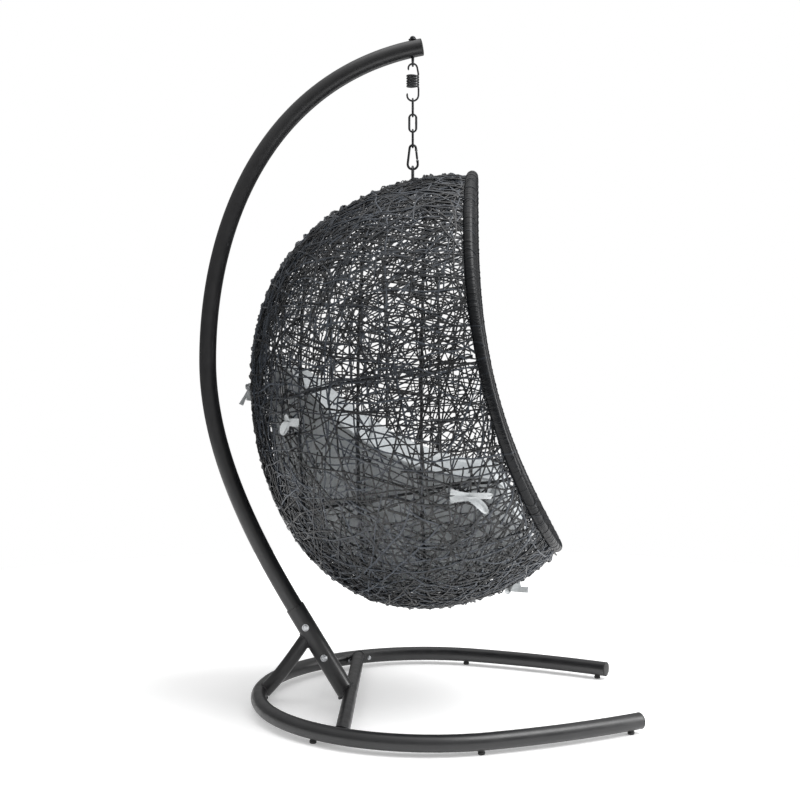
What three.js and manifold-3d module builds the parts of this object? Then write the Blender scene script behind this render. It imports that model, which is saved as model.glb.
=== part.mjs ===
// Hanging egg chair on a C-shaped floor stand.
// Millimetres, +Z up, +X towards the open front of the seat, origin on the floor below the hang point.

import * as THREE from 'three';
import { mergeVertices } from 'three/addons/utils/BufferGeometryUtils.js';
import { ParametricGeometry } from 'three/addons/geometries/ParametricGeometry.js';
import Module from 'manifold-3d';

const wasm = await Module();
wasm.setup();

// ---------------------------------------------------------------- driving dimensions

const GAP = 0.4; // clearance between pieces that touch on the real chair
const BENT_GAP = 1; // the same beside a bent tube, whose facets cut its corners

// stand
const FOOT_HEIGHT = 10;
const FOOT_RADIUS = 9.5;
const FOOT_EDGE = 1.5;
const FOOT_AT = { rear: 0.325, middle: 0.657, front: 0.98 }; // fractions of an arm from its rear end
const ARM_RADIUS = 22.5;
const ARM_WALL = 2;
const ARM_Z = FOOT_HEIGHT + ARM_RADIUS + GAP;
const HOOP_CENTRE_X = 48; // centre of the base's round back
const HOOP_RADIUS = 502;
const HOOP_END_ANGLE = THREE.MathUtils.degToRad(72); // where the round back runs into the long front arms
const ARM_FRONT_RADIUS = 2040;
const ARM_FRONT_LENGTH = 455;
const CAP = { thickness: 4, inset: 0.5, stemDepth: 14, stemPlay: 3 };

const CROSS_BAR_X = -183;
const CROSS_BAR_Z = 36;
const CROSS_BAR_RADIUS = 20;
const CROSS_BAR_HALF = 444; // half its blank's length, before its ends are coped to the arms
const SADDLE = { halfLength: 56, thickness: 3, height: 28 };
const SADDLE_SCREW_AT = { rear: -47, front: 28 }; // along the arm from the cross bar
const SCREW = { radius: 3, headRadius: 5.5, headHeight: 3.5, length: 12 };

const SOCKET_TOP = new THREE.Vector3(-350, 0, 285.5);
const SOCKET_FOOT = new THREE.Vector3(-196, 0, 31);
const SOCKET_RADIUS = 28;
const SOCKET_WALL = 1.9;
const SOCKET_DEPTH = 200; // how far the pole goes down inside it
const SOCKET_BOLTS = { upper: 66, lower: 171 }; // distances below the socket's top
const BOLT = { radius: 4, headRadius: 8, headHeight: 5, nutRadius: 7.5, nutHeight: 6.5 };

const STRUT_RADIUS = 20;
const STRUT_FOOT = new THREE.Vector3(-440, 0, 34);
const STRUT_BEND = new THREE.Vector3(-392, 0, 84);
const STRUT_HEAD = new THREE.Vector3(-310, 0, 201);

const POLE_RADIUS = 25;
const POLE_WALL = 2.5;
const POLE_TOP = new THREE.Vector3(25, 0, 1938);
const POLE_TOP_ANGLE = THREE.MathUtils.degToRad(10.5); // rise of the tube's end above level
const POLE_BACK = new THREE.Vector3(-607.3, 0, 1014);
const POLE_HANDLES = [452, 420, 232, 300]; // lengths of the curve's handles, from the top end down

// hardware on the hang axis
const EYE_WIRE = 3;
const EYE_RING = 10.2;
const EYE_LOW_Z = 1883.5;
const DOME_NUT = { radius: 7, height: 12, thread: 7, seatZ: 1959.5 };
const SPRING_WIRE = 3.2;
const SPRING_COIL_RADIUS = 17;
const SPRING_COIL_TOP = 1857.5;
const SPRING_COIL_LOW = 1820;
const SPRING_TURNS = 4;
const SPRING_HOOK_RADIUS = 13.6;
const SPRING_LOOP_RADIUS = 17;
const SPRING_LOOP_Z = 1780;
const LINK_WIRE = 2.8;
const LINK_HALF_WIDTH = 10.2;
const LINK_PITCH = 51.4;
const SNAP_WIRE = 3.5;
const SNAP_LENGTH = 71;
const SNAP_TOP_RADIUS = 9.3;
const SNAP_LOW_RADIUS = 15;
const SNAP_NOSE = -0.08; // where the hook's wire starts and ends, in quarters of its loop
const SNAP_HEEL = 3.62;
const SNAP_GATE = { heel: 3.68, nose: 3.86, radius: 3 };

// seat
const SEAT_YAW = THREE.MathUtils.degToRad(-4);
const EGG_TOP = { x: 214, z: 1567 };
const EGG_FOOT = { x: 28, z: 290 };
const EGG_DEPTH = 598;
const EGG_WIDTH = 465;
const EGG_DEPTH_GROWTH = [0.19, 0.114]; // the egg is deeper near its top
const EGG_WIDTH_GROWTH = -0.07; // and narrower there
const WEAVE_THICKNESS = 8;
const RIM_LOW_Z = 460;
const RIM_HIGH_Z = 1580;
const RIM_X = [432, 199, 159, 177]; // Bezier heights of the rim's side outline, bottom to top
const RIM_RADIUS = 16;
const RIM_INSET = 4;
const RIM_CLEARANCE = 21.5;
const RIB_RADIUS = 4;
const SPINE_INSET = 16;
const HOOP_RIB_INSET = 27;
const SIDE_RIB_INSET = 38;
const HOOP_RIB_X = { rear: -285, middle: -115, front: 55 };
const SIDE_RIB_Z = { upper: 985, lower: 640 };
const SIDE_RIB_SLOPE = 0.2;
const SIDE_RIB_RISE = [0.86, 0.98]; // the part of each half over which it comes out to the rim
const SEAT_EYE_WIRE = 3.5;
const SEAT_EYE_HALF_WIDTH = 13.5;
const SEAT_EYE_SLOT = { play: 3, depth: 80 }; // the opening in the weave round the eye

// cushion
const CUSHION_INSET = 46;
const CUSHION_THICKNESS = 100;
const CUSHION_EDGE = 19; // its thickness at the edge
const CUSHION_EDGE_ROUND = 18; // how far its back face comes in there
const CUSHION_AXIS = new THREE.Vector3(-0.4, 0, -0.92).normalize();
const CUSHION_WING_Z = 725; // lowest height of its side edges
const CUSHION_WING_X = 230;
const CUSHION_WING_CURVE = 0.0009;
const CUSHION_BACK_Z = 1045;
const CUSHION_RIM_SETBACK = 34;
const CUSHION_CORNER = 15; // blends its straight edges into round corners

// cushion ties, by the direction in which each one sits on the egg
const TIE = { length: 96, width: 36, thickness: 10, standoff: 10 };
const TIE_PLACES = {
  rear: { turn: 0, z: 922 },
  rear_right: { turn: -42, z: 840 },
  rear_left: { turn: 42, z: 840 },
  front_right: { turn: -100, z: 658 },
  front_left: { turn: 100, z: 658 },
  bottom: { turn: 180, z: 370 },
};

// ---------------------------------------------------------------- materials

function finish(color, roughness, metalness) {
  return new THREE.MeshStandardMaterial({ color, roughness, metalness });
}

const POWDER_COAT = finish(0x2c2d2f, 0.42, 0.35);
const BLACK_PLASTIC = finish(0x141414, 0.55, 0);
const ZINC = finish(0xb9bcc0, 0.3, 0.9);
const BLACK_STEEL = finish(0x232427, 0.38, 0.6);
const RATTAN = finish(0x34373b, 0.5, 0);
const CUSHION_FABRIC = finish(0x8f9497, 0.95, 0);
const TIE_FABRIC = finish(0xbfc3c5, 0.95, 0);

// ---------------------------------------------------------------- helpers

const ROUND_SIDES = 12; // of tubes, bolts and holes
const CAP_SIDES = 16;
const WIRE_SIDES = 6;
const HEX = 6;

const point = (x, y, z) => new THREE.Vector3(x, y, z);
const X_AXIS = point(1, 0, 0);
const Y_AXIS = point(0, 1, 0);
const Z_AXIS = point(0, 0, 1);

function node(name, geometry, material) {
  const mesh = new THREE.Mesh(geometry, material);
  mesh.name = name;
  return mesh;
}

function toSolid(geometry) {
  const bare = geometry.clone();
  bare.deleteAttribute('normal');
  bare.deleteAttribute('uv');
  const merged = mergeVertices(bare, 1e-4);
  const vertProperties = new Float32Array(merged.attributes.position.array);
  const triVerts = new Uint32Array(merged.index.array);
  return new wasm.Manifold(new wasm.Mesh({ numProp: 3, vertProperties, triVerts }));
}

function fromSolid(solid) {
  const mesh = solid.getMesh();
  const geometry = new THREE.BufferGeometry();
  geometry.setAttribute('position', new THREE.BufferAttribute(new Float32Array(mesh.vertProperties), 3));
  geometry.setIndex(new THREE.BufferAttribute(new Uint32Array(mesh.triVerts), 1));
  geometry.computeVertexNormals();
  return geometry;
}

function join(first, ...others) {
  return fromSolid(others.reduce((sum, other) => sum.add(toSolid(other)), toSolid(first)));
}

function cut(body, ...tools) {
  return fromSolid(tools.reduce((rest, tool) => rest.subtract(toSolid(tool)), toSolid(body)));
}

// A round section, hollow when a wall is given.
function section(radius, sides, wall = 0) {
  const ring = (r) => Array.from({ length: sides }, (_, i) => {
    const angle = (2 * Math.PI * (i + 0.5)) / sides;
    return new THREE.Vector2(r * Math.cos(angle), r * Math.sin(angle));
  });
  const shape = new THREE.Shape(ring(radius));
  if (wall > 0) shape.holes.push(new THREE.Path(ring(radius - wall).reverse()));
  return shape;
}

function tube(curve, radius, steps, sides, wall = 0) {
  const options = { steps, extrudePath: curve, bevelEnabled: false };
  return new THREE.ExtrudeGeometry(section(radius, sides, wall), options);
}

// A solid cylinder from one point to another.
function rod(from, to, radius, sides) {
  const axis = to.clone().sub(from);
  const geometry = new THREE.CylinderGeometry(radius, radius, axis.length(), sides);
  geometry.applyQuaternion(new THREE.Quaternion().setFromUnitVectors(Y_AXIS, axis.clone().normalize()));
  return geometry.translate(...from.clone().add(to).multiplyScalar(0.5).toArray());
}

// A closed round tube along a loop; across is a direction that the loop never runs along.
function loopTube(pointAt, radius, segments, sides, across) {
  const centres = Array.from({ length: segments }, (_, i) => pointAt(i / segments));
  const surface = (u, v, target) => {
    const i = Math.round(v * segments) % segments;
    const next = centres[(i + 1) % segments];
    const before = centres[(i + segments - 1) % segments];
    const along = next.clone().sub(before).normalize();
    const side = across.clone().cross(along).normalize();
    const up = along.clone().cross(side);
    const angle = 2 * Math.PI * (Math.round(u * sides) % sides) / sides;
    target.copy(centres[i]).addScaledVector(side, radius * Math.cos(angle));
    target.addScaledVector(up, radius * Math.sin(angle));
  };
  return new ParametricGeometry(surface, sides, segments);
}

// A long link with round ends in the plane of Z and side, its upper crown's wire centre at the origin.
function linkLoop(halfWidth, lowHalfWidth, length, side) {
  const straight = length - halfWidth - lowHalfWidth;
  return (t) => {
    const quarter = (t * 4 + 4) % 4;
    const offset = new THREE.Vector2();
    if (quarter < 1.5) {
      const angle = Math.PI * (quarter / 1.5);
      offset.set(halfWidth * Math.cos(angle), halfWidth * (Math.sin(angle) - 1));
    } else if (quarter < 2) {
      const f = (quarter - 1.5) / 0.5;
      offset.set(-halfWidth - (lowHalfWidth - halfWidth) * f, -halfWidth - straight * f);
    } else if (quarter < 3.5) {
      const angle = Math.PI * ((quarter - 2) / 1.5);
      offset.set(-lowHalfWidth * Math.cos(angle), -halfWidth - straight - lowHalfWidth * Math.sin(angle));
    } else {
      const f = (quarter - 3.5) / 0.5;
      offset.set(lowHalfWidth - (lowHalfWidth - halfWidth) * f, -halfWidth - straight + straight * f);
    }
    return side.clone().multiplyScalar(offset.x).addScaledVector(Z_AXIS, offset.y);
  };
}

// ---------------------------------------------------------------- base

// The base's outline seen from above, from the seam at the back to the tip; side is -1 right, +1 left.
class ArmCurve extends THREE.Curve {
  constructor(side) {
    super();
    this.side = side;
    this.backArc = HOOP_RADIUS * (Math.PI - HOOP_END_ANGLE);
    this.length = this.backArc + ARM_FRONT_LENGTH;
  }

  getPoint(t, target = new THREE.Vector3()) {
    const run = t * this.length;
    const angle = Math.PI - Math.min(run, this.backArc) / HOOP_RADIUS;
    const x = HOOP_CENTRE_X + HOOP_RADIUS * Math.cos(angle);
    const y = HOOP_RADIUS * Math.sin(angle);
    const turn = Math.max(run - this.backArc, 0) / ARM_FRONT_RADIUS;
    const heading = HOOP_END_ANGLE - Math.PI / 2;
    const dx = ARM_FRONT_RADIUS * (Math.sin(turn - heading) + Math.sin(heading));
    const dy = ARM_FRONT_RADIUS * (Math.cos(turn - heading) - Math.cos(heading));
    return target.set(x + dx, this.side * (y + dy), ARM_Z);
  }
}

// The part of a curve between two of its fractions.
class CurvePiece extends THREE.Curve {
  constructor(curve, from, to) {
    super();
    Object.assign(this, { curve, from, to });
  }

  getPoint(t, target = new THREE.Vector3()) {
    return target.copy(this.curve.getPoint(this.from + (this.to - this.from) * t));
  }
}

const ARM_CURVE = { right: new ArmCurve(-1), left: new ArmCurve(1) };
const SIDES = Object.keys(ARM_CURVE);
const SEAM = GAP / ARM_CURVE.right.length;
const JOINER_REACH = 0.05; // the sleeve's half length, as a fraction of an arm
const ENVELOPE_END = 0.6; // the fraction of an arm that anything is welded to

const armPoint = (side, fraction) => ARM_CURVE[side].getPoint(fraction);

// How far along the arm the cross bar meets it.
const BAR_AT = (Math.PI - Math.acos((CROSS_BAR_X - HOOP_CENTRE_X) / HOOP_RADIUS)) * HOOP_RADIUS
  / ARM_CURVE.right.length;

// A screw of a saddle: where its axis crosses the arm's inner face, and the way it points.
function saddleScrew(side, offset) {
  const fraction = BAR_AT + offset / ARM_CURVE[side].length;
  const centre = armPoint(side, fraction);
  const out = centre.clone().sub(point(HOOP_CENTRE_X, 0, ARM_Z)).normalize();
  return { out, face: centre.addScaledVector(out, -ARM_RADIUS) };
}

function screwHole(side, offset) {
  const { out, face } = saddleScrew(side, offset);
  const from = face.clone().addScaledVector(out, -3 * SADDLE.thickness);
  const to = face.clone().addScaledVector(out, ARM_RADIUS);
  return rod(from, to, SCREW.radius + GAP, ROUND_SIDES);
}

const screwHoles = (side) => Object.values(SADDLE_SCREW_AT).map((offset) => screwHole(side, offset));

function makeArm(side) {
  const curve = new CurvePiece(ARM_CURVE[side], SEAM, 1);
  return cut(tube(curve, ARM_RADIUS, 26, ROUND_SIDES, ARM_WALL), ...screwHoles(side));
}

// The short sleeve inside the seam at the back, half in each arm.
function makeJoiner() {
  const fractions = [-1, -0.5, 0, 0.5, 1].map((f) => f * JOINER_REACH);
  const path = fractions.map((f) => armPoint(f < 0 ? 'right' : 'left', Math.abs(f)));
  const radius = ARM_RADIUS - ARM_WALL - 1;
  return tube(new THREE.CatmullRomCurve3(path), radius, 4, ROUND_SIDES, ARM_WALL);
}

// A moulded plug: a disc over the tube's end and a shorter stem inside it.
function makeTubeCap(end, outward, tubeRadius, tubeWall) {
  const base = end.clone().addScaledVector(outward, GAP);
  const face = base.clone().addScaledVector(outward, CAP.thickness);
  const deep = end.clone().addScaledVector(outward, -CAP.stemDepth);
  const disc = rod(base, face, tubeRadius - CAP.inset, CAP_SIDES);
  return join(disc, rod(deep, face, tubeRadius - tubeWall - CAP.stemPlay, CAP_SIDES));
}

function makeArmCap(side) {
  const end = armPoint(side, 1);
  const outward = end.clone().sub(armPoint(side, 0.995)).normalize();
  return makeTubeCap(end, outward, ARM_RADIUS, ARM_WALL);
}

function makeFoot(side, fraction) {
  const place = armPoint(side, fraction);
  const profile = [
    [0, 0],
    [FOOT_RADIUS - FOOT_EDGE, 0],
    [FOOT_RADIUS, FOOT_EDGE],
    [FOOT_RADIUS, FOOT_HEIGHT],
    [0, FOOT_HEIGHT],
  ];
  const foot = new THREE.LatheGeometry(profile.map(([r, z]) => new THREE.Vector2(r, z)), ROUND_SIDES);
  return foot.rotateX(Math.PI / 2).translate(place.x, place.y, 0);
}

// ---------------------------------------------------------------- cross bar, socket and strut

// The curved plate at each end of the cross bar, lying on the arm's inner face.
function makeSaddle(side) {
  const reach = SADDLE.halfLength / ARM_CURVE[side].length;
  const curve = new CurvePiece(ARM_CURVE[side], BAR_AT - reach, BAR_AT + reach);
  const radius = ARM_RADIUS + BENT_GAP + SADDLE.thickness;
  const sleeve = tube(curve, radius, 4, ROUND_SIDES, SADDLE.thickness);
  const { out } = saddleScrew(side, 0);
  const centre = armPoint(side, BAR_AT);
  const keep = new THREE.BoxGeometry(4 * SADDLE.halfLength, 2 * ARM_RADIUS, SADDLE.height);
  keep.applyMatrix4(new THREE.Matrix4().makeBasis(out.clone().cross(Z_AXIS), out, Z_AXIS));
  keep.translate(...centre.clone().addScaledVector(out, -ARM_RADIUS - SADDLE.height / 2).toArray());
  return cut(fromSolid(toSolid(sleeve).intersect(toSolid(keep))), ...screwHoles(side));
}

function makeSaddleScrew(side, offset) {
  const { out, face } = saddleScrew(side, offset);
  const seat = face.clone().addScaledVector(out, -SADDLE.thickness - BENT_GAP - GAP);
  const top = seat.clone().addScaledVector(out, -SCREW.headHeight);
  const tip = seat.clone().addScaledVector(out, SCREW.length);
  return join(rod(top, seat, SCREW.headRadius, HEX), rod(top, tip, SCREW.radius, ROUND_SIDES));
}

// A thick plain tube round an arm, for coping the pieces that are welded on to it.
function armEnvelope(side, extra) {
  return tube(new CurvePiece(ARM_CURVE[side], 0, ENVELOPE_END), ARM_RADIUS + extra, 20, ROUND_SIDES);
}

const BAR_LINE = [-1, 1].map((sign) => point(CROSS_BAR_X, sign * CROSS_BAR_HALF, CROSS_BAR_Z));

function makeCrossBar() {
  const bar = tube(new THREE.LineCurve3(...BAR_LINE), CROSS_BAR_RADIUS, 1, ROUND_SIDES, ARM_WALL);
  const copes = SIDES.map((side) => armEnvelope(side, SADDLE.thickness + 2 * BENT_GAP));
  return cut(bar, ...copes);
}

const SOCKET_DOWN = SOCKET_FOOT.clone().sub(SOCKET_TOP).normalize();
const alongSocket = (distance) => SOCKET_TOP.clone().addScaledVector(SOCKET_DOWN, distance);

function boltHole(distance) {
  const centre = alongSocket(distance);
  const reach = Y_AXIS.clone().multiplyScalar(2 * SOCKET_RADIUS);
  return rod(centre.clone().sub(reach), centre.clone().add(reach), BOLT.radius + GAP, ROUND_SIDES);
}

const boltHoles = () => Object.values(SOCKET_BOLTS).map(boltHole);

// Its foot is coped against the cross bar, on which it stands.
function makeSocket() {
  const line = new THREE.LineCurve3(SOCKET_TOP, SOCKET_FOOT);
  const body = tube(line, SOCKET_RADIUS, 1, ROUND_SIDES, SOCKET_WALL);
  const bar = tube(new THREE.LineCurve3(...BAR_LINE), CROSS_BAR_RADIUS + GAP, 1, ROUND_SIDES);
  return cut(body, bar, ...boltHoles());
}

// The head is on the right, the nut on the left.
function makeBolt(distance) {
  const centre = alongSocket(distance);
  const at = (y) => point(centre.x, y, centre.z);
  const seat = SOCKET_RADIUS + GAP;
  const head = rod(at(-seat - BOLT.headHeight), at(-seat), BOLT.headRadius, HEX);
  return join(head, rod(at(-seat - 1), at(seat + BOLT.nutHeight + 3), BOLT.radius, ROUND_SIDES));
}

function makeNut(distance) {
  const centre = alongSocket(distance);
  const at = (y) => point(centre.x, y, centre.z);
  const seat = SOCKET_RADIUS + GAP;
  const nut = rod(at(seat), at(seat + BOLT.nutHeight), BOLT.nutRadius, HEX);
  return cut(nut, rod(at(0), at(2 * SOCKET_RADIUS), BOLT.radius + GAP, ROUND_SIDES));
}

function makeStrut() {
  const path = new THREE.CatmullRomCurve3([STRUT_FOOT, STRUT_BEND, STRUT_HEAD]);
  const body = tube(path, STRUT_RADIUS, 6, ROUND_SIDES, ARM_WALL);
  const socket = tube(new THREE.LineCurve3(SOCKET_TOP, SOCKET_FOOT), SOCKET_RADIUS + GAP, 1, ROUND_SIDES);
  return cut(body, socket, ...SIDES.map((side) => armEnvelope(side, BENT_GAP)));
}

// ---------------------------------------------------------------- pole

function makePoleCurve() {
  const [top, above, below, foot] = POLE_HANDLES;
  const end = point(-Math.cos(POLE_TOP_ANGLE), 0, -Math.sin(POLE_TOP_ANGLE));
  const path = new THREE.CurvePath();
  path.add(new THREE.CubicBezierCurve3(
    POLE_TOP,
    POLE_TOP.clone().addScaledVector(end, top),
    POLE_BACK.clone().addScaledVector(Z_AXIS, above),
    POLE_BACK,
  ));
  path.add(new THREE.CubicBezierCurve3(
    POLE_BACK,
    POLE_BACK.clone().addScaledVector(Z_AXIS, -below),
    SOCKET_TOP.clone().addScaledVector(SOCKET_DOWN, -foot),
    SOCKET_TOP,
  ));
  path.add(new THREE.LineCurve3(SOCKET_TOP, alongSocket(SOCKET_DEPTH)));
  return path;
}

const POLE_CURVE = makePoleCurve();
const POLE_STEPS = 32;

function makePole() {
  const body = tube(POLE_CURVE, POLE_RADIUS, POLE_STEPS, ROUND_SIDES, POLE_WALL);
  const from = point(0, 0, POLE_TOP.z - 2 * POLE_RADIUS);
  const to = point(0, 0, POLE_TOP.z + 2 * POLE_RADIUS);
  const eyeHole = rod(from, to, EYE_WIRE + GAP, ROUND_SIDES);
  return cut(body, eyeHole, ...boltHoles());
}

function makePoleCap() {
  const outward = point(Math.cos(POLE_TOP_ANGLE), 0, Math.sin(POLE_TOP_ANGLE));
  return makeTubeCap(POLE_TOP, outward, POLE_RADIUS, POLE_WALL);
}

// ---------------------------------------------------------------- hardware on the hang axis

function makeEyeBolt() {
  const ring = new THREE.TorusGeometry(EYE_RING, EYE_WIRE, WIRE_SIDES, 18).rotateY(Math.PI / 2);
  ring.translate(0, 0, EYE_LOW_Z + EYE_RING);
  const shankFoot = point(0, 0, EYE_LOW_Z + 2 * EYE_RING);
  const shankTop = point(0, 0, DOME_NUT.seatZ + DOME_NUT.thread);
  return join(ring, rod(shankFoot, shankTop, EYE_WIRE, ROUND_SIDES));
}

function makeDomeNut() {
  const { radius, height, thread, seatZ } = DOME_NUT;
  const shoulder = height - radius;
  const dome = Array.from({ length: 5 }, (_, i) => {
    const angle = (i * Math.PI) / 8;
    return new THREE.Vector2(i === 4 ? 0 : radius * Math.cos(angle), shoulder + radius * Math.sin(angle));
  });
  const profile = [new THREE.Vector2(0, 0), new THREE.Vector2(radius, 0), ...dome];
  const nut = new THREE.LatheGeometry(profile, ROUND_SIDES).rotateX(Math.PI / 2).translate(0, 0, seatZ);
  const boreTop = point(0, 0, seatZ + thread + GAP);
  return cut(nut, rod(point(0, 0, seatZ - 2), boreTop, EYE_WIRE + GAP, ROUND_SIDES));
}

// One wire: a hook over the bolt's eye, the coil, and an open loop that carries the chain.
function makeSpring() {
  const points = [];
  const arc = (radius, centreZ, from, to) => {
    const count = Math.round(Math.abs(to - from) / 24);
    for (let i = 0; i <= count; i += 1) {
      const angle = THREE.MathUtils.degToRad(from + ((to - from) * i) / count);
      points.push(point(radius * Math.cos(angle), 0, centreZ + radius * Math.sin(angle)));
    }
  };
  const hookZ = EYE_LOW_Z + EYE_WIRE + SPRING_WIRE + GAP - SPRING_HOOK_RADIUS;
  arc(SPRING_HOOK_RADIUS, hookZ, 205, -5);
  const perTurn = 12;
  for (let i = 0; i <= SPRING_TURNS * perTurn; i += 1) {
    const angle = (2 * Math.PI * i) / perTurn;
    const z = SPRING_COIL_TOP + ((SPRING_COIL_LOW - SPRING_COIL_TOP) * i) / (SPRING_TURNS * perTurn);
    points.push(point(SPRING_COIL_RADIUS * Math.cos(angle), SPRING_COIL_RADIUS * Math.sin(angle), z));
  }
  arc(SPRING_LOOP_RADIUS, SPRING_LOOP_Z + SPRING_LOOP_RADIUS, 5, -200);
  return tube(new THREE.CatmullRomCurve3(points), SPRING_WIRE, 76, WIRE_SIDES);
}

// Wire centres of the crowns of what hangs below, each resting on the wire above it.
const LINK_DROP = LINK_PITCH - 2 * LINK_WIRE - GAP;
const CROWN_Z = { link_upper: SPRING_LOOP_Z + SPRING_WIRE + LINK_WIRE + GAP };
CROWN_Z.link_middle = CROWN_Z.link_upper - LINK_DROP;
CROWN_Z.link_lower = CROWN_Z.link_middle - LINK_DROP;
CROWN_Z.snap_hook = CROWN_Z.link_lower - LINK_PITCH + LINK_WIRE + SNAP_WIRE + GAP;
CROWN_Z.seat_eye = CROWN_Z.snap_hook - SNAP_LENGTH + SNAP_WIRE + SEAT_EYE_WIRE + GAP;

function makeLink(crownZ, side, across) {
  const loop = linkLoop(LINK_HALF_WIDTH, LINK_HALF_WIDTH, LINK_PITCH, side);
  return loopTube(loop, LINK_WIRE, 24, WIRE_SIDES, across).translate(0, 0, crownZ);
}

const snapLoop = linkLoop(SNAP_TOP_RADIUS, SNAP_LOW_RADIUS, SNAP_LENGTH, X_AXIS);

function makeSnapHook() {
  const stations = Array.from({ length: 33 }, (_, i) => SNAP_NOSE + ((SNAP_HEEL - SNAP_NOSE) * i) / 32);
  const path = new THREE.CatmullRomCurve3(stations.map((quarter) => snapLoop(quarter / 4)));
  return tube(path, SNAP_WIRE, 26, WIRE_SIDES).translate(0, 0, CROWN_Z.snap_hook);
}

function makeSnapGate() {
  const { heel, nose, radius } = SNAP_GATE;
  const gate = rod(snapLoop(heel / 4), snapLoop(nose / 4), radius, ROUND_SIDES);
  return gate.translate(0, 0, CROWN_Z.snap_hook);
}

// ---------------------------------------------------------------- egg surface

const EGG_MIDDLE = { x: (EGG_TOP.x + EGG_FOOT.x) / 2, z: (EGG_TOP.z + EGG_FOOT.z) / 2 };
const EGG_HALF = { x: (EGG_TOP.x - EGG_FOOT.x) / 2, z: (EGG_TOP.z - EGG_FOOT.z) / 2 };

// The point of the egg, or of the smaller egg an inset inside it, in a unit direction from its middle.
function eggPoint(direction, inset) {
  const s = direction.z;
  const depth = EGG_DEPTH * (1 + EGG_DEPTH_GROWTH[0] * s + EGG_DEPTH_GROWTH[1] * s * s) - inset;
  const width = EGG_WIDTH * (1 + EGG_WIDTH_GROWTH * s) - inset;
  return point(
    EGG_MIDDLE.x + EGG_HALF.x * s + depth * direction.x,
    width * direction.y,
    EGG_MIDDLE.z + (EGG_HALF.z - inset) * s,
  );
}

// The way out of the egg's skin in a given direction.
function eggNormal(direction) {
  const step = 0.01;
  const across = Math.abs(direction.y) > 0.9 ? Z_AXIS : Y_AXIS;
  const a = direction.clone().cross(across).normalize();
  const b = direction.clone().cross(a).normalize();
  const shifted = (axis) => eggPoint(direction.clone().addScaledVector(axis, step).normalize(), 0);
  const here = eggPoint(direction, 0);
  const normal = shifted(a).sub(here).cross(shifted(b).sub(here)).normalize();
  return normal.dot(direction) < 0 ? normal.negate() : normal;
}

// A direction at an angle from a pole, turned about it from the first of two cross axes.
function tilted(pole, first, second, angle, turn) {
  const aside = first.clone().multiplyScalar(Math.cos(turn)).addScaledVector(second, Math.sin(turn));
  return pole.clone().multiplyScalar(Math.cos(angle)).addScaledVector(aside, Math.sin(angle));
}

const fromBack = (angle, turn) => tilted(point(-1, 0, 0), Y_AXIS, Z_AXIS, angle, turn);

// The largest angle for which outside() is still negative.
function edgeAngle(outside, limit = Math.PI) {
  let [low, high] = [0, limit];
  for (let i = 0; i < 40; i += 1) {
    const middle = (low + high) / 2;
    if (outside(middle) < 0) low = middle;
    else high = middle;
  }
  return low;
}

// The rim's side outline: how far forward it is at a height.
function rimX(z) {
  const t = (z - RIM_LOW_Z) / (RIM_HIGH_Z - RIM_LOW_Z);
  const r = 1 - t;
  const [a, b, c, d] = RIM_X;
  return a * r ** 3 + 3 * b * r * r * t + 3 * c * r * t * t + d * t ** 3;
}

// The closed curve in which a surface x = frontAt(z) cuts the egg.
function eggSlice(inset, frontAt) {
  return (t) => {
    const turn = 2 * Math.PI * t;
    const ahead = (angle) => {
      const place = eggPoint(fromBack(angle, turn), inset);
      return place.x - frontAt(place.z);
    };
    return eggPoint(fromBack(edgeAngle(ahead), turn), inset);
  };
}

// ---------------------------------------------------------------- seat frame

const makeRim = () => loopTube(eggSlice(RIM_INSET, rimX), RIM_RADIUS, 52, 10, X_AXIS);

const makeHoopRib = (x) => loopTube(eggSlice(HOOP_RIB_INSET, () => x), RIB_RADIUS, 36, WIRE_SIDES, X_AXIS);

// How near a rib's centre comes to the rim's side outline.
const RIB_STOP = RIM_RADIUS + RIB_RADIUS + 3;

class EggCurve extends THREE.Curve {
  constructor(pointAt) {
    super();
    this.pointAt = pointAt;
  }

  getPoint(t, target = new THREE.Vector3()) {
    return target.copy(this.pointAt(t));
  }
}

// From the rim's top over the back to its foot, in the plane of symmetry.
function spinePointAt(angle) {
  return eggPoint(point(-Math.cos(angle), 0, Math.sin(angle)), SPINE_INSET);
}

function makeSpine() {
  const reach = (sign) => sign * edgeAngle((angle) => {
    const place = spinePointAt(sign * angle);
    return place.x - rimX(place.z) + RIB_STOP;
  });
  const [high, low] = [reach(1), reach(-1)];
  return tube(new EggCurve((t) => spinePointAt(high + (low - high) * t)), RIB_RADIUS, 34, WIRE_SIDES);
}

// From the rim's right side round the back to its left side, rising a little towards the front.
function makeSideRib(height) {
  const place = (turn, inset) => {
    const level = (z) => (z - EGG_MIDDLE.z) / EGG_HALF.z;
    const direction = (s) => {
      const c = Math.sqrt(1 - s * s);
      return point(-c * Math.cos(turn), c * Math.sin(turn), s);
    };
    const near = eggPoint(direction(level(height)), inset);
    return eggPoint(direction(level(height + SIDE_RIB_SLOPE * near.x)), inset);
  };
  const end = edgeAngle((turn) => {
    const at = place(turn, SPINE_INSET);
    return at.x - rimX(at.z) + RIB_STOP;
  });
  const curve = new EggCurve((t) => {
    const turn = (2 * t - 1) * end;
    const rise = THREE.MathUtils.smoothstep(Math.abs(2 * t - 1), ...SIDE_RIB_RISE);
    return place(turn, SIDE_RIB_INSET + (SPINE_INSET - SIDE_RIB_INSET) * rise);
  });
  return tube(curve, RIB_RADIUS, 32, WIRE_SIDES);
}

const SPINE_TOP_Z = (() => {
  const angle = edgeAngle((a) => spinePointAt(a).x);
  return spinePointAt(angle).z + RIB_RADIUS;
})();

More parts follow.
